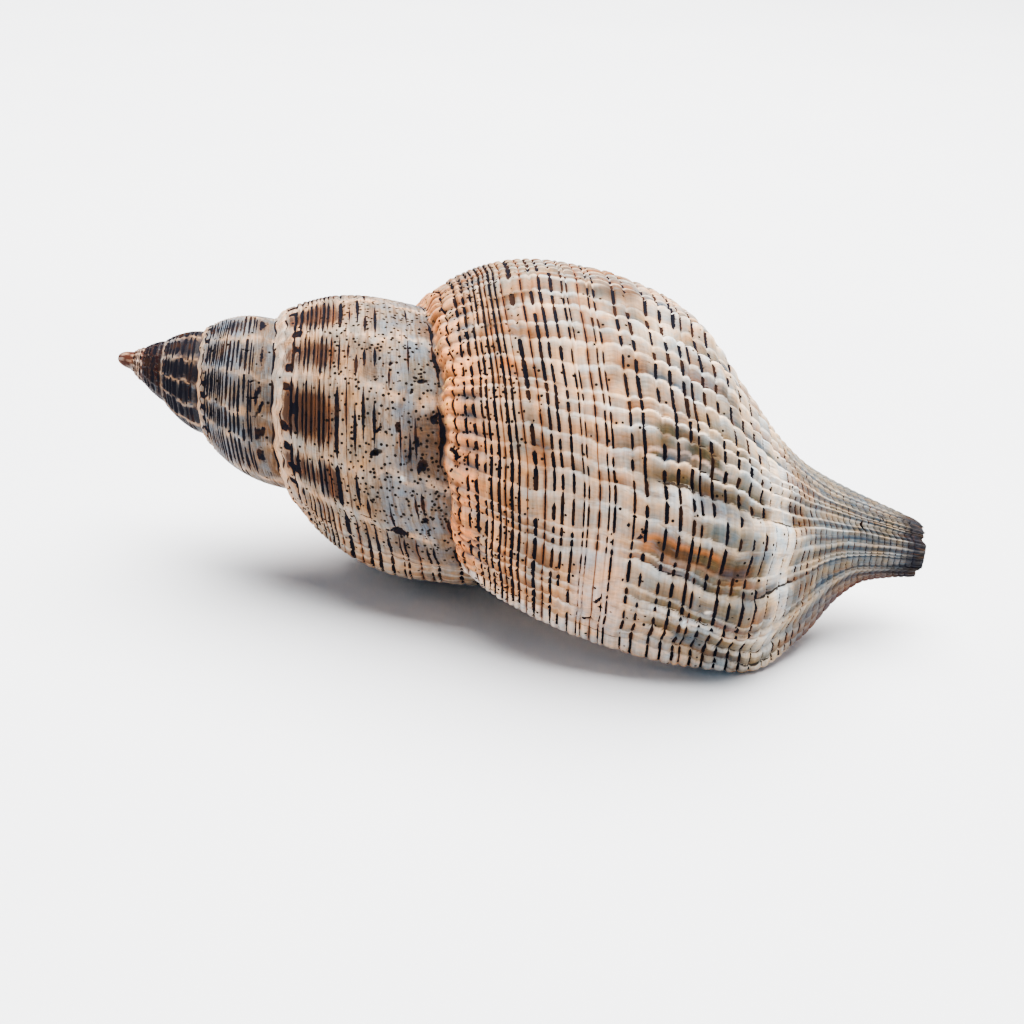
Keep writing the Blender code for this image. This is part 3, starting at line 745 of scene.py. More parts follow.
def last_whorl_colours(at, across):
    """The ground colours of the last whorl. Each cord and each cell of it is tinted, the lower end
    of an interval gets painted shade, the hollow under a shingle gets mossy or steely painted shade,
    and the upper end is a pale crest, partly its own colour and partly a painted highlight. Near the
    seam the hollows between the beads get painted shade and the beads' tops a painted highlight.
    The canal has blue bands and beaded cords, and its end is dark."""
    share, body, canal, base = at.share, at.body, at.canal, at.base
    ground = colour_between(GROUND_STAGES, GROUND_SHARES, GROUND, at.turns, share)
    bright = 0.78 + 0.34 * CORD_TINTS[at.cord, 1] + 0.50 * at.bright
    bright = bright + 0.02 * base - 0.15 * ramp(share, 0.50, 0.60)
    ground = ground * (1 + (bright - 1) * body)[..., None]
    low_end = (1 - at.through) ** 0.9
    # painted shade: the lower end of each interval is darkened towards umber or slate
    shade = (0.24 + 0.36 * base + 0.35 * canal) * body * low_end * (0.2 + 1.2 * at.blotch)
    # painted shade: the hollow under each shingle is darkened towards moss or steel
    hollow = at.shingled * (1 - at.down) ** 1.4 * (0.15 + 1.2 * at.mottle)
    hollow = hollow * (1.5 + 0.8 * hump(at.turns, 0.155, 0.06))
    smudge = ramp(at.blotch, 0.55, 0.8) * (0.3 + 0.9 * at.smudged) * low_end * (1 - canal) * body
    smudge = unit(smudge * (1 - 0.5 * base) * (1 - 0.6 * hump(share, 0.31, 0.06)))
    # the pale crest at each interval's upper end is partly its own pale colour and partly a painted
    # highlight
    lit_pale_crest = ramp(at.through, 0.60, 0.9) * (0.32 + 0.38 * ramp(share, 0.15, 0.32))
    lit_pale_crest = np.maximum(lit_pale_crest, ramp(at.down, 0.66, 0.92) * at.shingled * 1.35)
    band = canal * body * ramp(np.sin(2 * np.pi * at.stage / CANAL_BAND + 2), -0.1, 0.8)
    checks = canal * body * unit(across + 0.3) * (0.15 + 0.75 * band)
    beaded_cord = canal * body * at.up * (1 - band)
    ground = coated(
        ground,
        (mixed_colours(COLOURS["umber"], COLOURS["slate"], ramp(at.cool, 0.3, 0.6)), unit(shade)),
        (
            mixed_colours(COLOURS["moss"], COLOURS["steel"], ramp(at.cool, 0.35, 0.65)),
            np.clip(hollow, 0, 0.96) * body,
        ),
        ("ochre", 0.80 * smudge),
        ("umber", 0.75 * smudge * ramp(low_end, 0.25, 0.8)),
        ("chalk", unit(lit_pale_crest * (0.3 + 0.8 * at.pale)) * 0.8 * body),
        ("steel", band * (0.50 + 0.50 * at.blotch) * 0.95),
        ("dusk", 0.8 * checks),
        ("bone", 0.30 * beaded_cord * (0.3 + 0.7 * at.pale)),
    )
    ground = ground * (1 - 0.33 * canal * body * (1 - 0.35 * hump(at.turns, 0.155, 0.05)))[..., None]
    ground = coated(ground, *accent_coats(at), ("lip", 0.92 * at.lip_band * (1 - canal)))
    # painted shade: the hollows between the beads near the seam are darkened towards steel
    shade_between_beads = (1 - at.bead_round) ** 1.5 * hump(share, 0.070, 0.050) * body * (1 - at.lip_band)
    ground = coated(ground, ("steel", shade_between_beads * (0.15 + 0.75 * ramp(at.cool, 0.3, 0.7))))
    # painted highlight and shade: along the seam's rim the beads' tops are lightened and the gaps between
    # them darkened
    bead_highlight_and_shade = fall(share, 0.035, 0.060) * body
    ground = ground * (1 + bead_highlight_and_shade * (0.65 * at.bead_round - 0.35))[..., None]
    stained_edge = canal * fall(at.stage, 0.02, 0.07) * at.lip
    dark_end = ramp(share + 0.03 * at.blotch, 0.945, 0.99) * body
    return coated(ground, ("chestnut", 0.75 * stained_edge), ("soot", 0.92 * dark_end))


def spire_colours(at):
    """The ground colours of the spire and how streaky it is: rusty blocks and dark blotches
    between the folds, pale crests on them, and rosy spots near the tip."""
    older, place_on, between = at.older, at.place_on, at.between
    dark = unit(1.5 * at.block - 0.35) * at.streaked
    blotched = ramp(at.mottle, 0.35, 0.75) * between * (0.35 + 0.4 * older - 0.4 * at.pale_whorl)
    blotched = blotched * fall(at.turns, 3.9, 4.1) * ramp(place_on, 0.05, 0.15)
    stained = ramp(at.cool, 0.40, 0.75) * ramp(between, 0.1, 0.6) * ramp(place_on, 0.40, 0.75)
    bluish = ramp(at.mottle, 0.3, 0.6) * fall(at.cool, 0.2, 0.5) * ramp(place_on, 0.25, 0.4)
    fold_crest = fall(between, 0.05 + 0.15 * at.mottle, 0.25 + 0.35 * at.mottle)
    fold_crest = fold_crest * ramp(at.pale, 0.10 + 0.25 * older, 0.72) * fall(at.turns, 3.7, 4.0)
    ground = coated(
        colour_between(SPIRE_STAGES, SPIRE_PLACES, SPIRE_GROUND, at.turns, place_on),
        ("rust", np.clip(0.8 * dark * (0.35 + 0.9 * at.brown), 0, 0.85) * (1 - older)),
        ("dusk", unit(blotched)),
        ("umber", 0.6 * stained * (1 - older)),
        ("slate", 0.55 * bluish * (1 - 0.4 * older)),
        ("cream", (0.8 - 0.35 * older) * fold_crest),
    )
    ground = ground * (0.85 + 0.3 * CORD_TINTS[at.cord, 0])[..., None]
    spotted = ramp(at.knobs + 0.5 * (at.mottle - 0.5), 0.0, 0.35) * ramp(at.turns, 4.75, 4.95)
    streak = dark * (0.80 + 0.4 * older - 0.45 * at.pale_whorl)
    mottled = (0.22 + 0.42 * older - 0.3 * at.pale_whorl) * between * (0.4 + 0.9 * at.cool)
    mottled = mottled * at.spire * ramp(place_on, 0.1, 0.3)
    streak = np.clip(np.maximum(streak, mottled + 0.10 * at.spire), 0, 1.3)
    near_tip = 0.42 * ramp(at.mottle, 0.2, 0.7)
    streak = np.where(at.turns > 4, near_tip, streak * fall(at.turns, 3.9, 4.0))
    return coated(ground, ("pink", 0.75 * spotted)), streak


def bead_marks(at, ink, rust):
    """Ink and rust with the dark gaps between the beads, where (1 - bead)^n is high: n is 1.6 on
    the spire and 3 along the last whorl's rim."""
    gap = hump(at.share, 0.036 + 0.034 * at.bead_shift, 0.018 + 0.018 * at.bead_size)
    gap = (1 - at.bead_round) ** 1.6 * gap * at.spire * (0.25 + 1.1 * at.bead_gap)
    rust = np.maximum(rust, (2.0 * gap - 0.20) * at.spire)
    rim_gap = (1 - at.bead_round) ** 3 * hump(at.share, 0.030, 0.018) * at.body * (at.turns < 0.6)
    rust = np.maximum(rust, 1.2 * rim_gap * (0.3 + at.brown) - 0.2)
    return np.maximum(ink, 1.6 * gap - 0.40), rust


def dirt_and_shade_marks(at):
    """How dirty or shaded each place is: dirt in gouges, and dirt with painted shade in the creases of
    shingles, along the lip's band and in the crevices of the seams."""
    # painted shade with dirt: the creases of the shingles are darkened
    from_crease = np.minimum(at.down, 1 - at.down) * HALT_TURNS * TURN_LENGTH * 1.5
    crease_where = np.clip(at.shingled * (0.2 + 1.5 * at.pale), 0, 1.2) * at.body
    dirt = np.clip(1 - from_crease / CREASE_WIDTH, -0.5, 1) * crease_where
    # painted shade with dirt: a dark line where the lip's band begins
    band_line = unit(1 - abs(at.stage - LIP_BAND) * TURN_LENGTH / CREASE_WIDTH)
    dirt = np.maximum(dirt, 0.62 * band_line * (0.45 + at.pale) * at.lip * (1 - at.canal))
    dirt = np.maximum(dirt, 0.9 * at.gouged) * (1 - at.chipped)
    # painted shade: the crevice under each seam's edge on the spire, and the last whorl's very top at its
    # seam, are darkened
    under = ramp(at.place_on, 0.965, 0.995) * (at.turns > 1)
    return np.maximum(dirt, np.maximum(0.35 * fall(at.share, 0.0, 0.010), 0.45 * under))


def bore_chances(at):
    """How likely a bore hole is at each place: common down the second whorl, and on the last one
    near its seam."""
    second = ramp(at.place_on, 0.30, 0.5) * fall(at.turns, 1.35, 1.6)
    bored = np.where(at.turns > 1, second, 0.75 * fall(at.share, 0.12, 0.26) * (at.turns < 1))
    few = 0.06 * (at.turns < 1) * (1 - at.canal) + 0.15 * (at.turns > 1) * (at.turns < 2.5)
    return np.maximum(bored, few)


def outside(along, size, turns, chosen):
    """Lifts the plain sections by their relief, and works out the fields that colour each place."""
    at = whorl_places(along, size, turns, chosen)
    across, window, ink, rust = groove_marks(at)
    height = relief(at, across, window)
    if len(chosen) < len(SHARES):
        height = height * fall(at.share, 0.965 * at.share[-1], at.share[-1])
    height[:, 0] = 0
    along, size = lifted(along, size, height)

    ground = last_whorl_colours(at, across)
    spire_ground, streak = spire_colours(at)
    ground = mixed_colours(ground, spire_ground, ramp(at.turns, 0.95, 1.02))
    ground = coated(ground, ("chalk", 0.8 * ramp(at.chipped, 0.4, 0.75)))
    ink, rust = bead_marks(at, ink, rust)
    fields = {
        "ink": ink - 1.5 * ramp(at.chipped, 0.4, 0.7), "rust": rust, "dirt": dirt_and_shade_marks(at),
        "bored": bore_chances(at), "polish": ramp(at.turns, 1.6, 2.4), "streak": streak,
        "gouged": at.gouged, "aged": at.spire * fall(at.turns, 2.7, 3.0),
    }
    shape = along.shape
    fields = {name: np.broadcast_to(value, shape) for name, value in fields.items()}
    fields["ground"] = np.clip(ground, 0.002, 0.9)
    grown = np.broadcast_arrays(at.share * SHARE_LENGTH, at.stage * TURN_LENGTH)
    fields["growth"] = np.stack([*grown, np.zeros(shape)], axis=-1)
    return along, size, fields


def mixed_colours(one, two, amount):
    """one + (two - one) * amount, with an amount for each place."""
    amount = np.asarray(amount)[..., None]
    one = np.asarray(one)
    return one + (np.asarray(two) - one) * amount


def colour_between(stages, shares, names, turns, share):
    """The colour at each stage and share: the table's named colours, joined by S curves both ways."""
    table = np.array([[COLOURS[name] for name in row.split()] for row in names])
    turns, share = np.broadcast_arrays(turns, share)
    row, down = interval(stages, turns)
    column, across = interval(shares, share)
    down, across = ramp(down, 0, 1), ramp(across, 0, 1)
    near = mixed_colours(table[row, column], table[row, column + 1], across)
    far = mixed_colours(table[row + 1, column], table[row + 1, column + 1], across)
    return mixed_colours(near, far, down)


# ---- the closed skin -----------------------------------------------------------------------------
FIELD_KINDS = {"ground": ("FLOAT_COLOR", "color"), "growth": ("FLOAT_VECTOR", "vector")}


class Skin:
    """The vertices of the one closed surface with their fields, and the triangles of each piece."""

    def __init__(self):
        self.points, self.fields, self.faces, self.count = [], {}, {}, 0

    def add(self, along, size, turns, **fields):
        """Adds the points at these places, radii and stages. Returns their numbers, as a grid."""
        points = point(along, size, turns)
        grid = self.count + np.arange(points[..., 0].size).reshape(points.shape[:-1])
        self.points.append(points.reshape(-1, 3))
        self.count += grid.size
        for name, value in fields.items():
            self.fields.setdefault(name, []).append((grid.ravel(), value.reshape(grid.size, -1)))
        return grid

    def keep(self, piece, triangles, flip=False):
        """Gives the triangles that haven't collapsed to a piece."""
        a, b, c = triangles.T
        triangles = triangles[(a != b) & (b != c) & (c != a)]
        self.faces.setdefault(piece, []).append(triangles if flip else triangles[:, ::-1])

    def net(self, piece, rows, flip=False):
        """Two triangles in each cell between neighbouring rows and columns."""
        a, b, c, d = rows[:-1, :-1], rows[1:, :-1], rows[1:, 1:], rows[:-1, 1:]
        halves = [np.stack(corners, axis=-1).reshape(-1, 3) for corners in ((a, b, c), (a, c, d))]
        self.keep(piece, np.concatenate(halves), flip)

    def ladder(self, piece, one, two, flip=False):
        """Triangles between two rows of unlike lengths: at each rung the row whose next vertex
        comes sooner, as a share of its length, moves on."""
        ahead = [np.arange(1, len(row)) / (len(row) - 1) for row in (one, two)]
        second = np.repeat([0, 1], [len(one) - 1, len(two) - 1])
        second = second[np.lexsort((second, np.concatenate(ahead)))]
        j = np.cumsum(second) - second
        i = np.arange(len(second)) - j
        next_one = one[np.minimum(i + 1, len(one) - 1)]
        next_two = two[np.minimum(j + 1, len(two) - 1)]
        moved = np.where(second == 1, next_two, next_one)
        self.keep(piece, np.stack([one[i], two[j], moved], axis=1), flip)

    def fan(self, piece, hub, ring, flip=False):
        """Triangles from a hub to each pair of neighbours on a closed ring."""
        self.keep(piece, np.stack([np.full(len(ring), hub), ring, np.roll(ring, -1)], axis=1), flip)


def stages(turn):
    """The stages of one turn of rows: fine where the shell faces up and forward, coarser behind."""
    front = np.linspace(0, FRONT_TURNS, FRONT_ROWS + 1)
    back = np.linspace(FRONT_TURNS, 1, BACK_ROWS + 1)[1:]
    return turn + np.concatenate([front, back])


def shown(turns, share):
    """The stage where a section is drawn. The lip is set back a little, to leave room for its
    rounded edge, and it is nicked where each groove runs out."""
    nicks = 0.0012 * np.sin(2 * np.pi * 19 * share) * np.sin(2 * np.pi * 5.3 * share + 1)
    back = (LIP_SET_BACK + nicks) * np.exp(-turns / 0.010)
    return turns + back * unit(share / PUSHED_SHARE) * (turns < 0.5)


def inner_radius(along, turns):
    """The hollow's outer side: the outside less the wall, and never inside the earlier whorl:
    e + (room + hypot(room, gap)) / 2, where e is the earlier whorl's radius."""
    slope = (radius(along + NEAR, turns) - radius(along - NEAR, turns)) / (2 * NEAR)
    marks = outline_marks(turns)[0]
    neck, canal_root = marks[3], marks[4]
    toward_canal = unit((along - neck) / (canal_root - neck))
    full = WALL + (CANAL_WALL - WALL) * toward_canal
    wall = LIP_EDGE + (full - LIP_EDGE) * np.minimum(1, turns / BEHIND_LIP)
    wall = wall * np.minimum(STEEPEST_WALL, np.hypot(1, slope))
    earlier = radius(along, turns + 1)
    room = radius(along, turns) - wall - earlier
    return earlier + (room + np.hypot(room, TIGHT_GAP)) / 2


def tip_fields(turns, angle):
    """The fields of the rounded tip: chestnut with rosy blotches, polished, without marks. The
    blotches lie where sin(10 pi turns + 4 angle) cos(6 pi turns - 3 angle) is high."""
    fields = {name: np.full(len(turns), value) for name, value in TIP_FIELDS.items()}
    wave = np.sin(10 * np.pi * turns + 4 * angle) * np.cos(6 * np.pi * turns - 3 * angle)
    fields["ground"] = mixed_colours(COLOURS["chestnut"], COLOURS["pink"], 0.55 * ramp(wave, 0.0, 0.4))
    fields["growth"] = np.zeros((len(turns), 3))
    return fields


def lay_whorls(skin):
    """Lays the last whorl and the spire, which closes on the apex. Each whorl's last column is the
    edge of the whorl after it. Returns the grid of the last whorl."""
    turns = stages(0)
    every = np.arange(len(SHARES))
    along, size, fields = outside(*body_sections(turns), turns, every)
    body = skin.add(along, size, shown(turns[:, None], SHARES), **fields)
    body[-1, CORNER] = body[0, 0]
    skin.net("last_whorl_front", body[: FRONT_ROWS + 1])
    skin.net("last_whorl_back", body[FRONT_ROWS:])

    first, later_edge = body[-1, : CORNER + 1], body[:, 0]
    for turn in range(1, SPIRE_TURNS):
        chosen = np.unique(np.append(np.arange(0, CORNER, COLUMN_STEPS[turn]), CORNER))
        turns = stages(turn)
        along, size, fields = outside(*spire_sections(turns, chosen), turns, chosen)
        fields = {name: value[1:, :-1] for name, value in fields.items()}
        grid = skin.add(along[1:, :-1], size[1:, :-1], turns[1:, None], **fields)
        grid = np.column_stack([grid, later_edge[1:]])
        piece = "second_whorl" if turn == 1 else "spire"
        skin.ladder(piece, first, grid[0])
        skin.net(piece, grid)
        later_edge = np.append(first[0], grid[:, 0])
        first = grid[-1]
    last_turns = np.concatenate([turns, np.full(len(first) - 2, turns[-1])])
    last_along = np.concatenate([along[:, 0], along[-1, 1:-1]])
    last_size = np.concatenate([size[:, 0], size[-1, 1:-1]])
    ring = np.concatenate([later_edge, first[1:-1]])
    for angle in np.radians(CAP_ANGLES):
        cap = [last_along * (1 - math.sin(angle)), last_size * math.cos(angle) * TIP_SWELL, last_turns]
        next_ring = skin.add(*cap, **tip_fields(last_turns, angle))
        skin.net("spire", np.stack([np.append(ring, ring[0]), np.append(next_ring, next_ring[0])]))
        ring = next_ring
    apex = skin.add(np.zeros(1), np.zeros(1), np.zeros(1), **tip_fields(np.zeros(1), 0.0))[0]
    skin.fan("spire", apex, ring, flip=True)
    return body


def lay_mouth(skin, body):
    """Lays the lip's rounded edge, the hollow and the canal's end. The hollow lies between the
    whorl before, with the columella, on its inner side and the wall on its outer side, and winds in
    by a number of turns that falls from the mouth to the canal along an S curve."""
    none, one = np.zeros(1), np.ones(1)
    first = body_sections(none)[0][0]
    under = body_sections(one)[0][0, CORNER:]
    under[0] = first[0]
    grids = []
    for line, earlier in ((under, 1), (first, 0)):
        share = (line - line[0]) / (line[-1] - line[0])
        reach = CAVITY_TURNS + (CANAL_GROOVE_TURNS - CAVITY_TURNS) * ramp(share, *CANAL_GROOVE_SHARES)
        turns = reach * np.linspace(0, 1, MOUTH_ROWS + 1)[:, None]
        start = seam(turns)[0] - seam_push(0.0)
        start = start + (seam_inset(turns) + HOLLOW_CLEAR) * ramp(turns, 0.0, 0.07)
        along = start + (canal_end(turns + earlier) - start) * share
        if earlier:
            pleats = PLEAT * sum(hump(share, *pleat) for pleat in PLEATS)
            size = radius(along, turns + 1) + pleats * ramp(turns, 0.03, 0.12)
            grids.append(skin.add(along[1:], size[1:], turns[1:]))
        else:
            size = inner_radius(along, turns)
            grids.append(skin.add(along, size, shown(turns, share)))
            inside = along[0], size[0]
    columella = np.vstack([body[-1, CORNER:], grids[0]])
    wall = grids[1]
    wall[:, 0] = columella[:, 0]
    skin.net("mouth", columella)
    skin.net("mouth", wall, flip=True)
    skin.ladder("mouth", columella[-1], wall[-1])

    along, size, _ = outside(*body_sections(none), none, np.arange(len(SHARES)))
    t = np.arange(1, RIM_ROWS)[:, None] / RIM_ROWS
    bulge = LIP_BULGE * np.sin(np.pi * t) * unit(SHARES / PUSHED_SHARE)
    rim_along = along[0] + (inside[0] - along[0]) * t
    rim_size = size[0] + (inside[1] - size[0]) * t
    rim = skin.add(rim_along, rim_size, shown(0.0, SHARES) - bulge / (2 * np.pi * rim_size))
    rim[:, 0] = body[0, 0]
    rim[:, -1] = body[0, -1]
    skin.net("mouth", np.vstack([body[0], rim, wall[0]]), flip=True)

    groove = round(CANAL_GROOVE_TURNS / FRONT_TURNS * FRONT_ROWS)
    skin.ladder("mouth", wall[:, -1], body[: groove + 1, -1])
    hub = skin.add(np.full(1, CANAL_CORE), none, none)[0]
    core = np.concatenate([body[groove:, -1], columella[1:, -1], wall[-1:, -1]])
    skin.fan("mouth", hub, core)


def laid_down(points):
    """Turns the skin to how the shell rests and sets it on its apex in the frame, in metres. What
    would stand out of the solid's box is worn flat: the places where the shell rests."""
    turn = Matrix.Rotation(math.radians(NOSE_DOWN), 3, "Y") @ Matrix.Rotation(math.radians(ROLL), 3, "X")
    solid = np.array([v.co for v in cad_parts["shell"].data.vertices])
    apex = solid[solid[:, 0].argmin()]
    points = 0.001 * points @ np.array(turn).T + apex
    return np.clip(points, *solid_box)


def smooth_normals(points, triangles):
    """Each point's normal: the sum of its triangles' normals, each as long as its area is great."""
    a, b, c = points[triangles].transpose(1, 0, 2)
    faces = np.cross(b - a, c - a)
    sums = [np.bincount(triangles[:, k], faces[:, axis], len(points)) for axis in range(3) for k in range(3)]
    normals = np.reshape(sums, (3, 3, -1)).sum(axis=1).T
    return normals / (np.linalg.norm(normals, axis=1, keepdims=True) + 1e-30)


def placed(name, data):
    """An object of this data, linked to the scene."""
    made = bpy.data.objects.new(name, data)
    bpy.context.scene.collection.objects.link(made)
    return made


def made_piece(skin, name, material, points, normals):
    """Makes the object of one piece's triangles, with the skin's fields and its smooth normals,
    which match along the borders between pieces."""
    triangles = np.concatenate(skin.faces[name])
    used, corners = np.unique(triangles, return_inverse=True)
    data = bpy.data.meshes.new(name)
    data.from_pydata(points[used], [], corners.reshape(-1, 3))
    data.shade_smooth()
    data.normals_split_custom_set_from_vertices(normals[used])
    for label, blocks in skin.fields.items() if name != "mouth" else ():
        values = np.zeros((skin.count, blocks[0][1].shape[1]), np.float32)
        for numbers, block in blocks:
            values[numbers] = block
        values = values[used]
        kind, slot = FIELD_KINDS.get(label, ("FLOAT", "value"))
        if label == "ground":
            values = np.column_stack([values, np.ones(len(used), np.float32)])
        data.attributes.new(label, kind, "POINT").data.foreach_set(slot, values.ravel())
    data.materials.append(material)
    piece = placed(name, data)
    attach(piece, "root")
    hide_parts("shell")


# ---- materials -----------------------------------------------------------------------------------
class Finish:
    """A node material in the making. Each method adds nodes and returns their output; an input is
    a value or another node's output."""

    def __init__(self, name):
        self.material = bpy.data.materials.new(name)
        self.material.use_nodes = True
        self.tree = self.material.node_tree
        self.shader = self.tree.nodes["Principled BSDF"]
        self.place = self.add("ShaderNodeTexCoord", {}, "Object")

    def join(self, socket, value):
        """Gives a socket its value or its link."""
        if isinstance(value, bpy.types.NodeSocket):
            self.tree.links.new(value, socket)
        else:
            socket.default_value = value

    def add(self, kind, inputs, output=0, **settings):
        """One node with these settings and inputs."""
        made = self.tree.nodes.new(kind)
        for name, value in settings.items():
            setattr(made, name, value)
        for name, value in inputs.items():
            self.join(made.inputs[name], value)
        return made.outputs[output]

    def field(self, name, output="Fac"):
        """One of the skin's fields: a number, or with another output its colour or vector."""
        return self.add("ShaderNodeAttribute", {}, output, attribute_name=name)

    def chain(self, operation, values):
        """The values joined one after another by an operation."""
        result = values[0]
        for value in values[1:]:
            result = self.add("ShaderNodeMath", {0: result, 1: value}, operation=operation)
        return result

    def plus(self, *values):
        """The sum of the values."""
        return self.chain("ADD", values)

    def minus(self, *values):
        """The first value less the others."""
        return self.chain("SUBTRACT", values)

    def times(self, *values):
        """The product of the values."""
        return self.chain("MULTIPLY", values)

    def most(self, *values):
        """The greatest of the values."""
        return self.chain("MAXIMUM", values)

    def line(self, value, slope, start):
        """start + slope * value."""
        return self.add("ShaderNodeMath", {0: value, 1: slope, 2: start}, operation="MULTIPLY_ADD")

    def crisp(self, value, start, end, low=0.0, high=1.0):
        """Low where the value is below start, high where it is above end, smooth between them."""
        inputs = {"Value": value, "From Min": start, "From Max": end, "To Min": low, "To Max": high}
        return self.add("ShaderNodeMapRange", inputs, interpolation_type="SMOOTHSTEP")

    def noise(self, vector, scale, detail=3.0, roughness=0.6):
        """Cloudy noise round one half."""
        inputs = {"Vector": vector, "Scale": scale, "Detail": detail, "Roughness": roughness}
        return self.add("ShaderNodeTexNoise", inputs)

    def stretched(self, vector, across, along):
        """The growth field's millimetres across and along the whorl, times these."""
        inputs = {0: vector, 1: (across, along, 1.0)}
        return self.add("ShaderNodeVectorMath", inputs, operation="MULTIPLY")

    def painted(self, amount, under, over, blend="MIX"):
        """One colour over another, by an amount."""
        tints = [tint if isinstance(tint, bpy.types.NodeSocket) else (*tint, 1) for tint in (under, over)]
        inputs = {0: amount, 6: tints[0], 7: tints[1]}
        return self.add("ShaderNodeMix", inputs, 2, data_type="RGBA", blend_type=blend)

    def tinted(self, colour, red, green, blue):
        """The colour with its red, green and blue multiplied."""
        factor = self.add("ShaderNodeCombineColor", {0: red, 1: green, 2: blue})
        return self.painted(1.0, colour, factor, "MULTIPLY")

    def bump(self, height, strength, distance):
        """Gives the shader the normals of a height."""
        inputs = {"Height": height, "Strength": strength, "Distance": distance}
        self.join(self.shader.inputs["Normal"], self.add("ShaderNodeBump", inputs, "Normal"))


def drifting_colour(shell):
    """The skin's ground colour, lighter and darker in clouds, grain, growth lines and threads, with
    brown stains, and with its hue drifting warmer and cooler in two sizes of patches."""
    shade = shell.plus(
        shell.crisp(shell.cloud, 0.3, 0.7, 0.84, 1.10),
        shell.crisp(shell.grain, 0.2, 0.8, -0.08, 0.08),
        shell.crisp(shell.lines, 0.3, 0.7, -0.13, 0.09),
        shell.times(shell.line(shell.aged, 1.2, 1.0), shell.crisp(shell.threads, 0.32, 0.68, -0.17, 0.13)),
    )
    colour = shell.tinted(shell.field("ground", "Color"), shade, shade, shade)
    stained = shell.times(
        shell.crisp(shell.lines, 0.56, 0.72), shell.crisp(shell.cloud, 0.45, 0.6, 0.0, 0.55)
    )
    colour = shell.painted(stained, colour, STAIN)
    hues = []
    for scale, detail, spread, strength in HUES:
        patch = shell.noise(shell.place, scale, detail)
        hues.append(shell.crisp(patch, 0.5 - spread, 0.5 + spread, -strength, strength))
    hue = shell.plus(*hues)
    warmer, cooler = HUE_SPREAD
    return shell.tinted(colour, shell.line(hue, warmer, 1.0), 1.0, shell.line(hue, -cooler, 1.0))


def smeared_colour(shell, growth, colour):
    """The colour with grey washes and brown smears along the growth lines of the fresh last whorl,
    and with bluish and brownish threads along the grooves of the aged ones."""
    fresh = shell.minus(1.0, shell.aged)
    smear = shell.noise(shell.stretched(growth, 0.16, 0.55), 1.0, 4, 0.62)
    wash = shell.noise(shell.stretched(growth, 0.11, 0.42), 1.7, 4, 0.62)
    bluish = shell.times(
        shell.crisp(shell.threads, 0.53, 0.64, 0.0, 0.65), shell.crisp(shell.cloud, 0.38, 0.58), shell.aged
    )
    brownish = shell.times(
        shell.crisp(shell.threads, 0.34, 0.47, 0.70, 0.0), shell.crisp(shell.grain, 0.35, 0.6), shell.aged
    )
    colour = shell.painted(shell.times(shell.crisp(wash, 0.55, 0.72, 0.0, 0.50), fresh), colour, WASH)
    colour = shell.painted(shell.times(shell.crisp(smear, 0.55, 0.70, 0.0, 0.62), fresh), colour, SMEAR)
    colour = shell.painted(bluish, colour, WASH)
    return shell.painted(brownish, colour, SMEAR)


def weathered_shell():
    """The outside: cloudy ground colours with fine growth lines, dark dashes in the grooves with
    rusty borders, brown streaks on the spire, dirt in gouges, dirt with painted shade in creases and
    crevices, and the pinholes of borers."""
    shell = Finish("weathered shell")
    growth = shell.field("growth", "Vector")
    polish = shell.field("polish")
    shell.aged = shell.field("aged")
    shell.cloud = cloud = shell.noise(shell.place, CLOUD_SCALE, 4)
    shell.grain = grain = shell.noise(shell.place, GRAIN_SCALE, 3)
    shell.lines = lines = shell.noise(shell.stretched(growth, 0.22, 3.2), 1.0, 3, 0.65)
    shell.threads = shell.noise(shell.stretched(growth, 2.2, 0.18), 1.0, 3, 0.6)
    colour = smeared_colour(shell, growth, drifting_colour(shell))

    streak = shell.line(cloud, 0.5, shell.plus(shell.field("streak"), shell.threads))
    streak = shell.crisp(streak, 1.10, 1.34, 0.0, 0.92)
    colour = shell.painted(streak, colour, shell.painted(polish, STREAK, INK))
    ragged_edge = shell.plus(shell.line(grain, 0.5, -0.25), shell.line(cloud, 0.5, -0.25))
    rust = shell.crisp(shell.plus(shell.field("rust"), ragged_edge), 0.05, 0.60, 0.0, 0.85)
    colour = shell.painted(rust, colour, RUST)
    # dirt in gouges, and painted shade with dirt in creases and crevices
    dirt = shell.crisp(shell.plus(shell.field("dirt"), ragged_edge), 0.40, 0.62, 0.0, 0.95)
    colour = shell.painted(dirt, colour, DIRT_AND_SHADE)
    ink = shell.crisp(shell.plus(shell.field("ink"), shell.line(grain, 0.7, -0.35)), 0.06, 0.22)
    ragged = shell.noise(shell.place, RAGGED_SCALE, 3)
    gouged = shell.line(ragged, 2.4, shell.plus(shell.field("gouged"), -1.2))
    ink = shell.most(ink, shell.crisp(gouged, 0.50, 0.62))
    colour = shell.painted(ink, colour, shell.painted(shell.crisp(cloud, 0.5, 0.62), INK, INK_BROWN))

    cells = shell.add("ShaderNodeTexVoronoi", {"Vector": shell.place, "Scale": BORE_SCALE}, "Distance")
    chance = shell.add("ShaderNodeSeparateColor", {0: cells.node.outputs["Color"]})
    there = shell.chain("GREATER_THAN", (shell.field("bored"), chance))
    bored = shell.times(shell.crisp(cells, 0.34, 0.23), there)
    shell.join(shell.shader.inputs["Base Color"], shell.painted(bored, colour, BORE))

    height = shell.line(grain, 0.25, shell.times(lines, 0.5))
    height = shell.minus(height, bored, shell.times(ink, 0.5), shell.times(dirt, 0.3))
    shell.bump(height, *SKIN_BUMP)
    gloss = shell.times(shell.line(polish, -0.01, 0.035), shell.minus(1.0, shell.most(ink, dirt, bored)))
    shell.join(shell.shader.inputs["Specular IOR Level"], gloss)
    rough = shell.line(polish, -0.12, shell.crisp(cloud, 0.3, 0.7, 0.42, 0.58))
    shell.join(shell.shader.inputs["Roughness"], rough)
    return shell.material


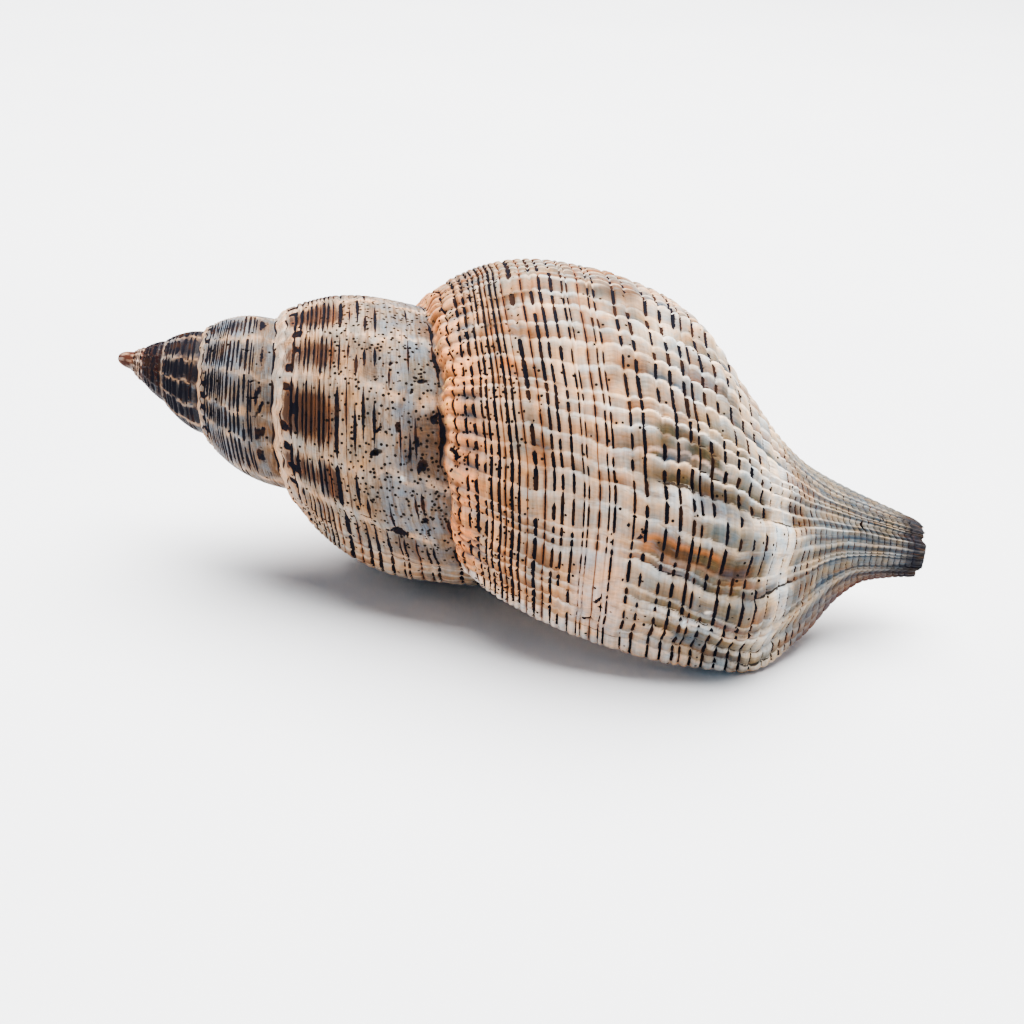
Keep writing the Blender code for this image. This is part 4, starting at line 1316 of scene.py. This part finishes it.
def porcelain_mouth():
    """The inside: pale and glossy, a little rosy, with faint clouds and a fine grain."""
    mouth = Finish("porcelain mouth")
    cloud = mouth.noise(mouth.place, 90, 4)
    grain = mouth.noise(mouth.place, 1500, 2)
    colour = mouth.painted(mouth.crisp(cloud, 0.35, 0.65), MOUTH_CREAM, MOUTH_ROSE)
    colour = mouth.painted(mouth.crisp(grain, 0.6, 0.8, 0.0, 0.3), colour, COLOURS["sand"])
    mouth.join(mouth.shader.inputs["Base Color"], colour)
    mouth.join(mouth.shader.inputs["Roughness"], mouth.crisp(cloud, 0.3, 0.7, 0.24, 0.38))
    mouth.bump(grain, *MOUTH_BUMP)
    return mouth.material


def painted_board():
    """The floor: a plain, pale, slightly bluish matt board."""
    board = Finish("pale board")
    cloud = board.noise(board.place, 9, 3)
    colour = board.painted(board.crisp(cloud, 0.3, 0.7), BOARD, BOARD_SHADE)
    board.join(board.shader.inputs["Base Color"], colour)
    board.join(board.shader.inputs["Roughness"], 0.6)
    return board.material


# ---- the shell -----------------------------------------------------------------------------------
skin = Skin()
lay_mouth(skin, lay_whorls(skin))
points = laid_down(np.concatenate(skin.points))
triangles = np.concatenate([block for blocks in skin.faces.values() for block in blocks])
normals = smooth_normals(points, triangles)
weathered, porcelain = weathered_shell(), porcelain_mouth()
for name in skin.faces:
    made_piece(skin, name, porcelain if name == "mouth" else weathered, points, normals)


# ---- floor, light and camera ---------------------------------------------------------------------
floor_data = bpy.data.meshes.new("floor")
corners = [(-FLOOR, -FLOOR, 0), (FLOOR, -FLOOR, 0), (FLOOR, FLOOR, 0), (-FLOOR, FLOOR, 0)]
floor_data.from_pydata(corners, [], [(0, 1, 2, 3)])
floor_data.materials.append(painted_board())
placed("floor", floor_data)

for name, light_place, side, power, colour in LIGHTS:
    lamp = bpy.data.lights.new(name, "AREA")
    lamp.size, lamp.energy, lamp.color = side, power, colour
    light = placed(name, lamp)
    light.location = light_place
    light.rotation_euler = (Vector(LIT_POINT) - Vector(light_place)).to_track_quat("-Z", "Y").to_euler()

world = bpy.data.worlds.new("pale room")
world.use_nodes = True
world.node_tree.nodes["Background"].inputs["Color"].default_value = ROOM_GLOW
world.node_tree.nodes["Background"].inputs["Strength"].default_value = ROOM_STRENGTH
bpy.context.scene.world = world

camera_data = bpy.data.cameras.new("camera")
camera_data.lens = CAMERA_LENS
camera_data.sensor_width = CAMERA_SENSOR
camera = placed("camera", camera_data)
camera.location = CAMERA_PLACE
camera.rotation_euler = [math.radians(angle) for angle in CAMERA_TURN]
bpy.context.scene.camera = camera
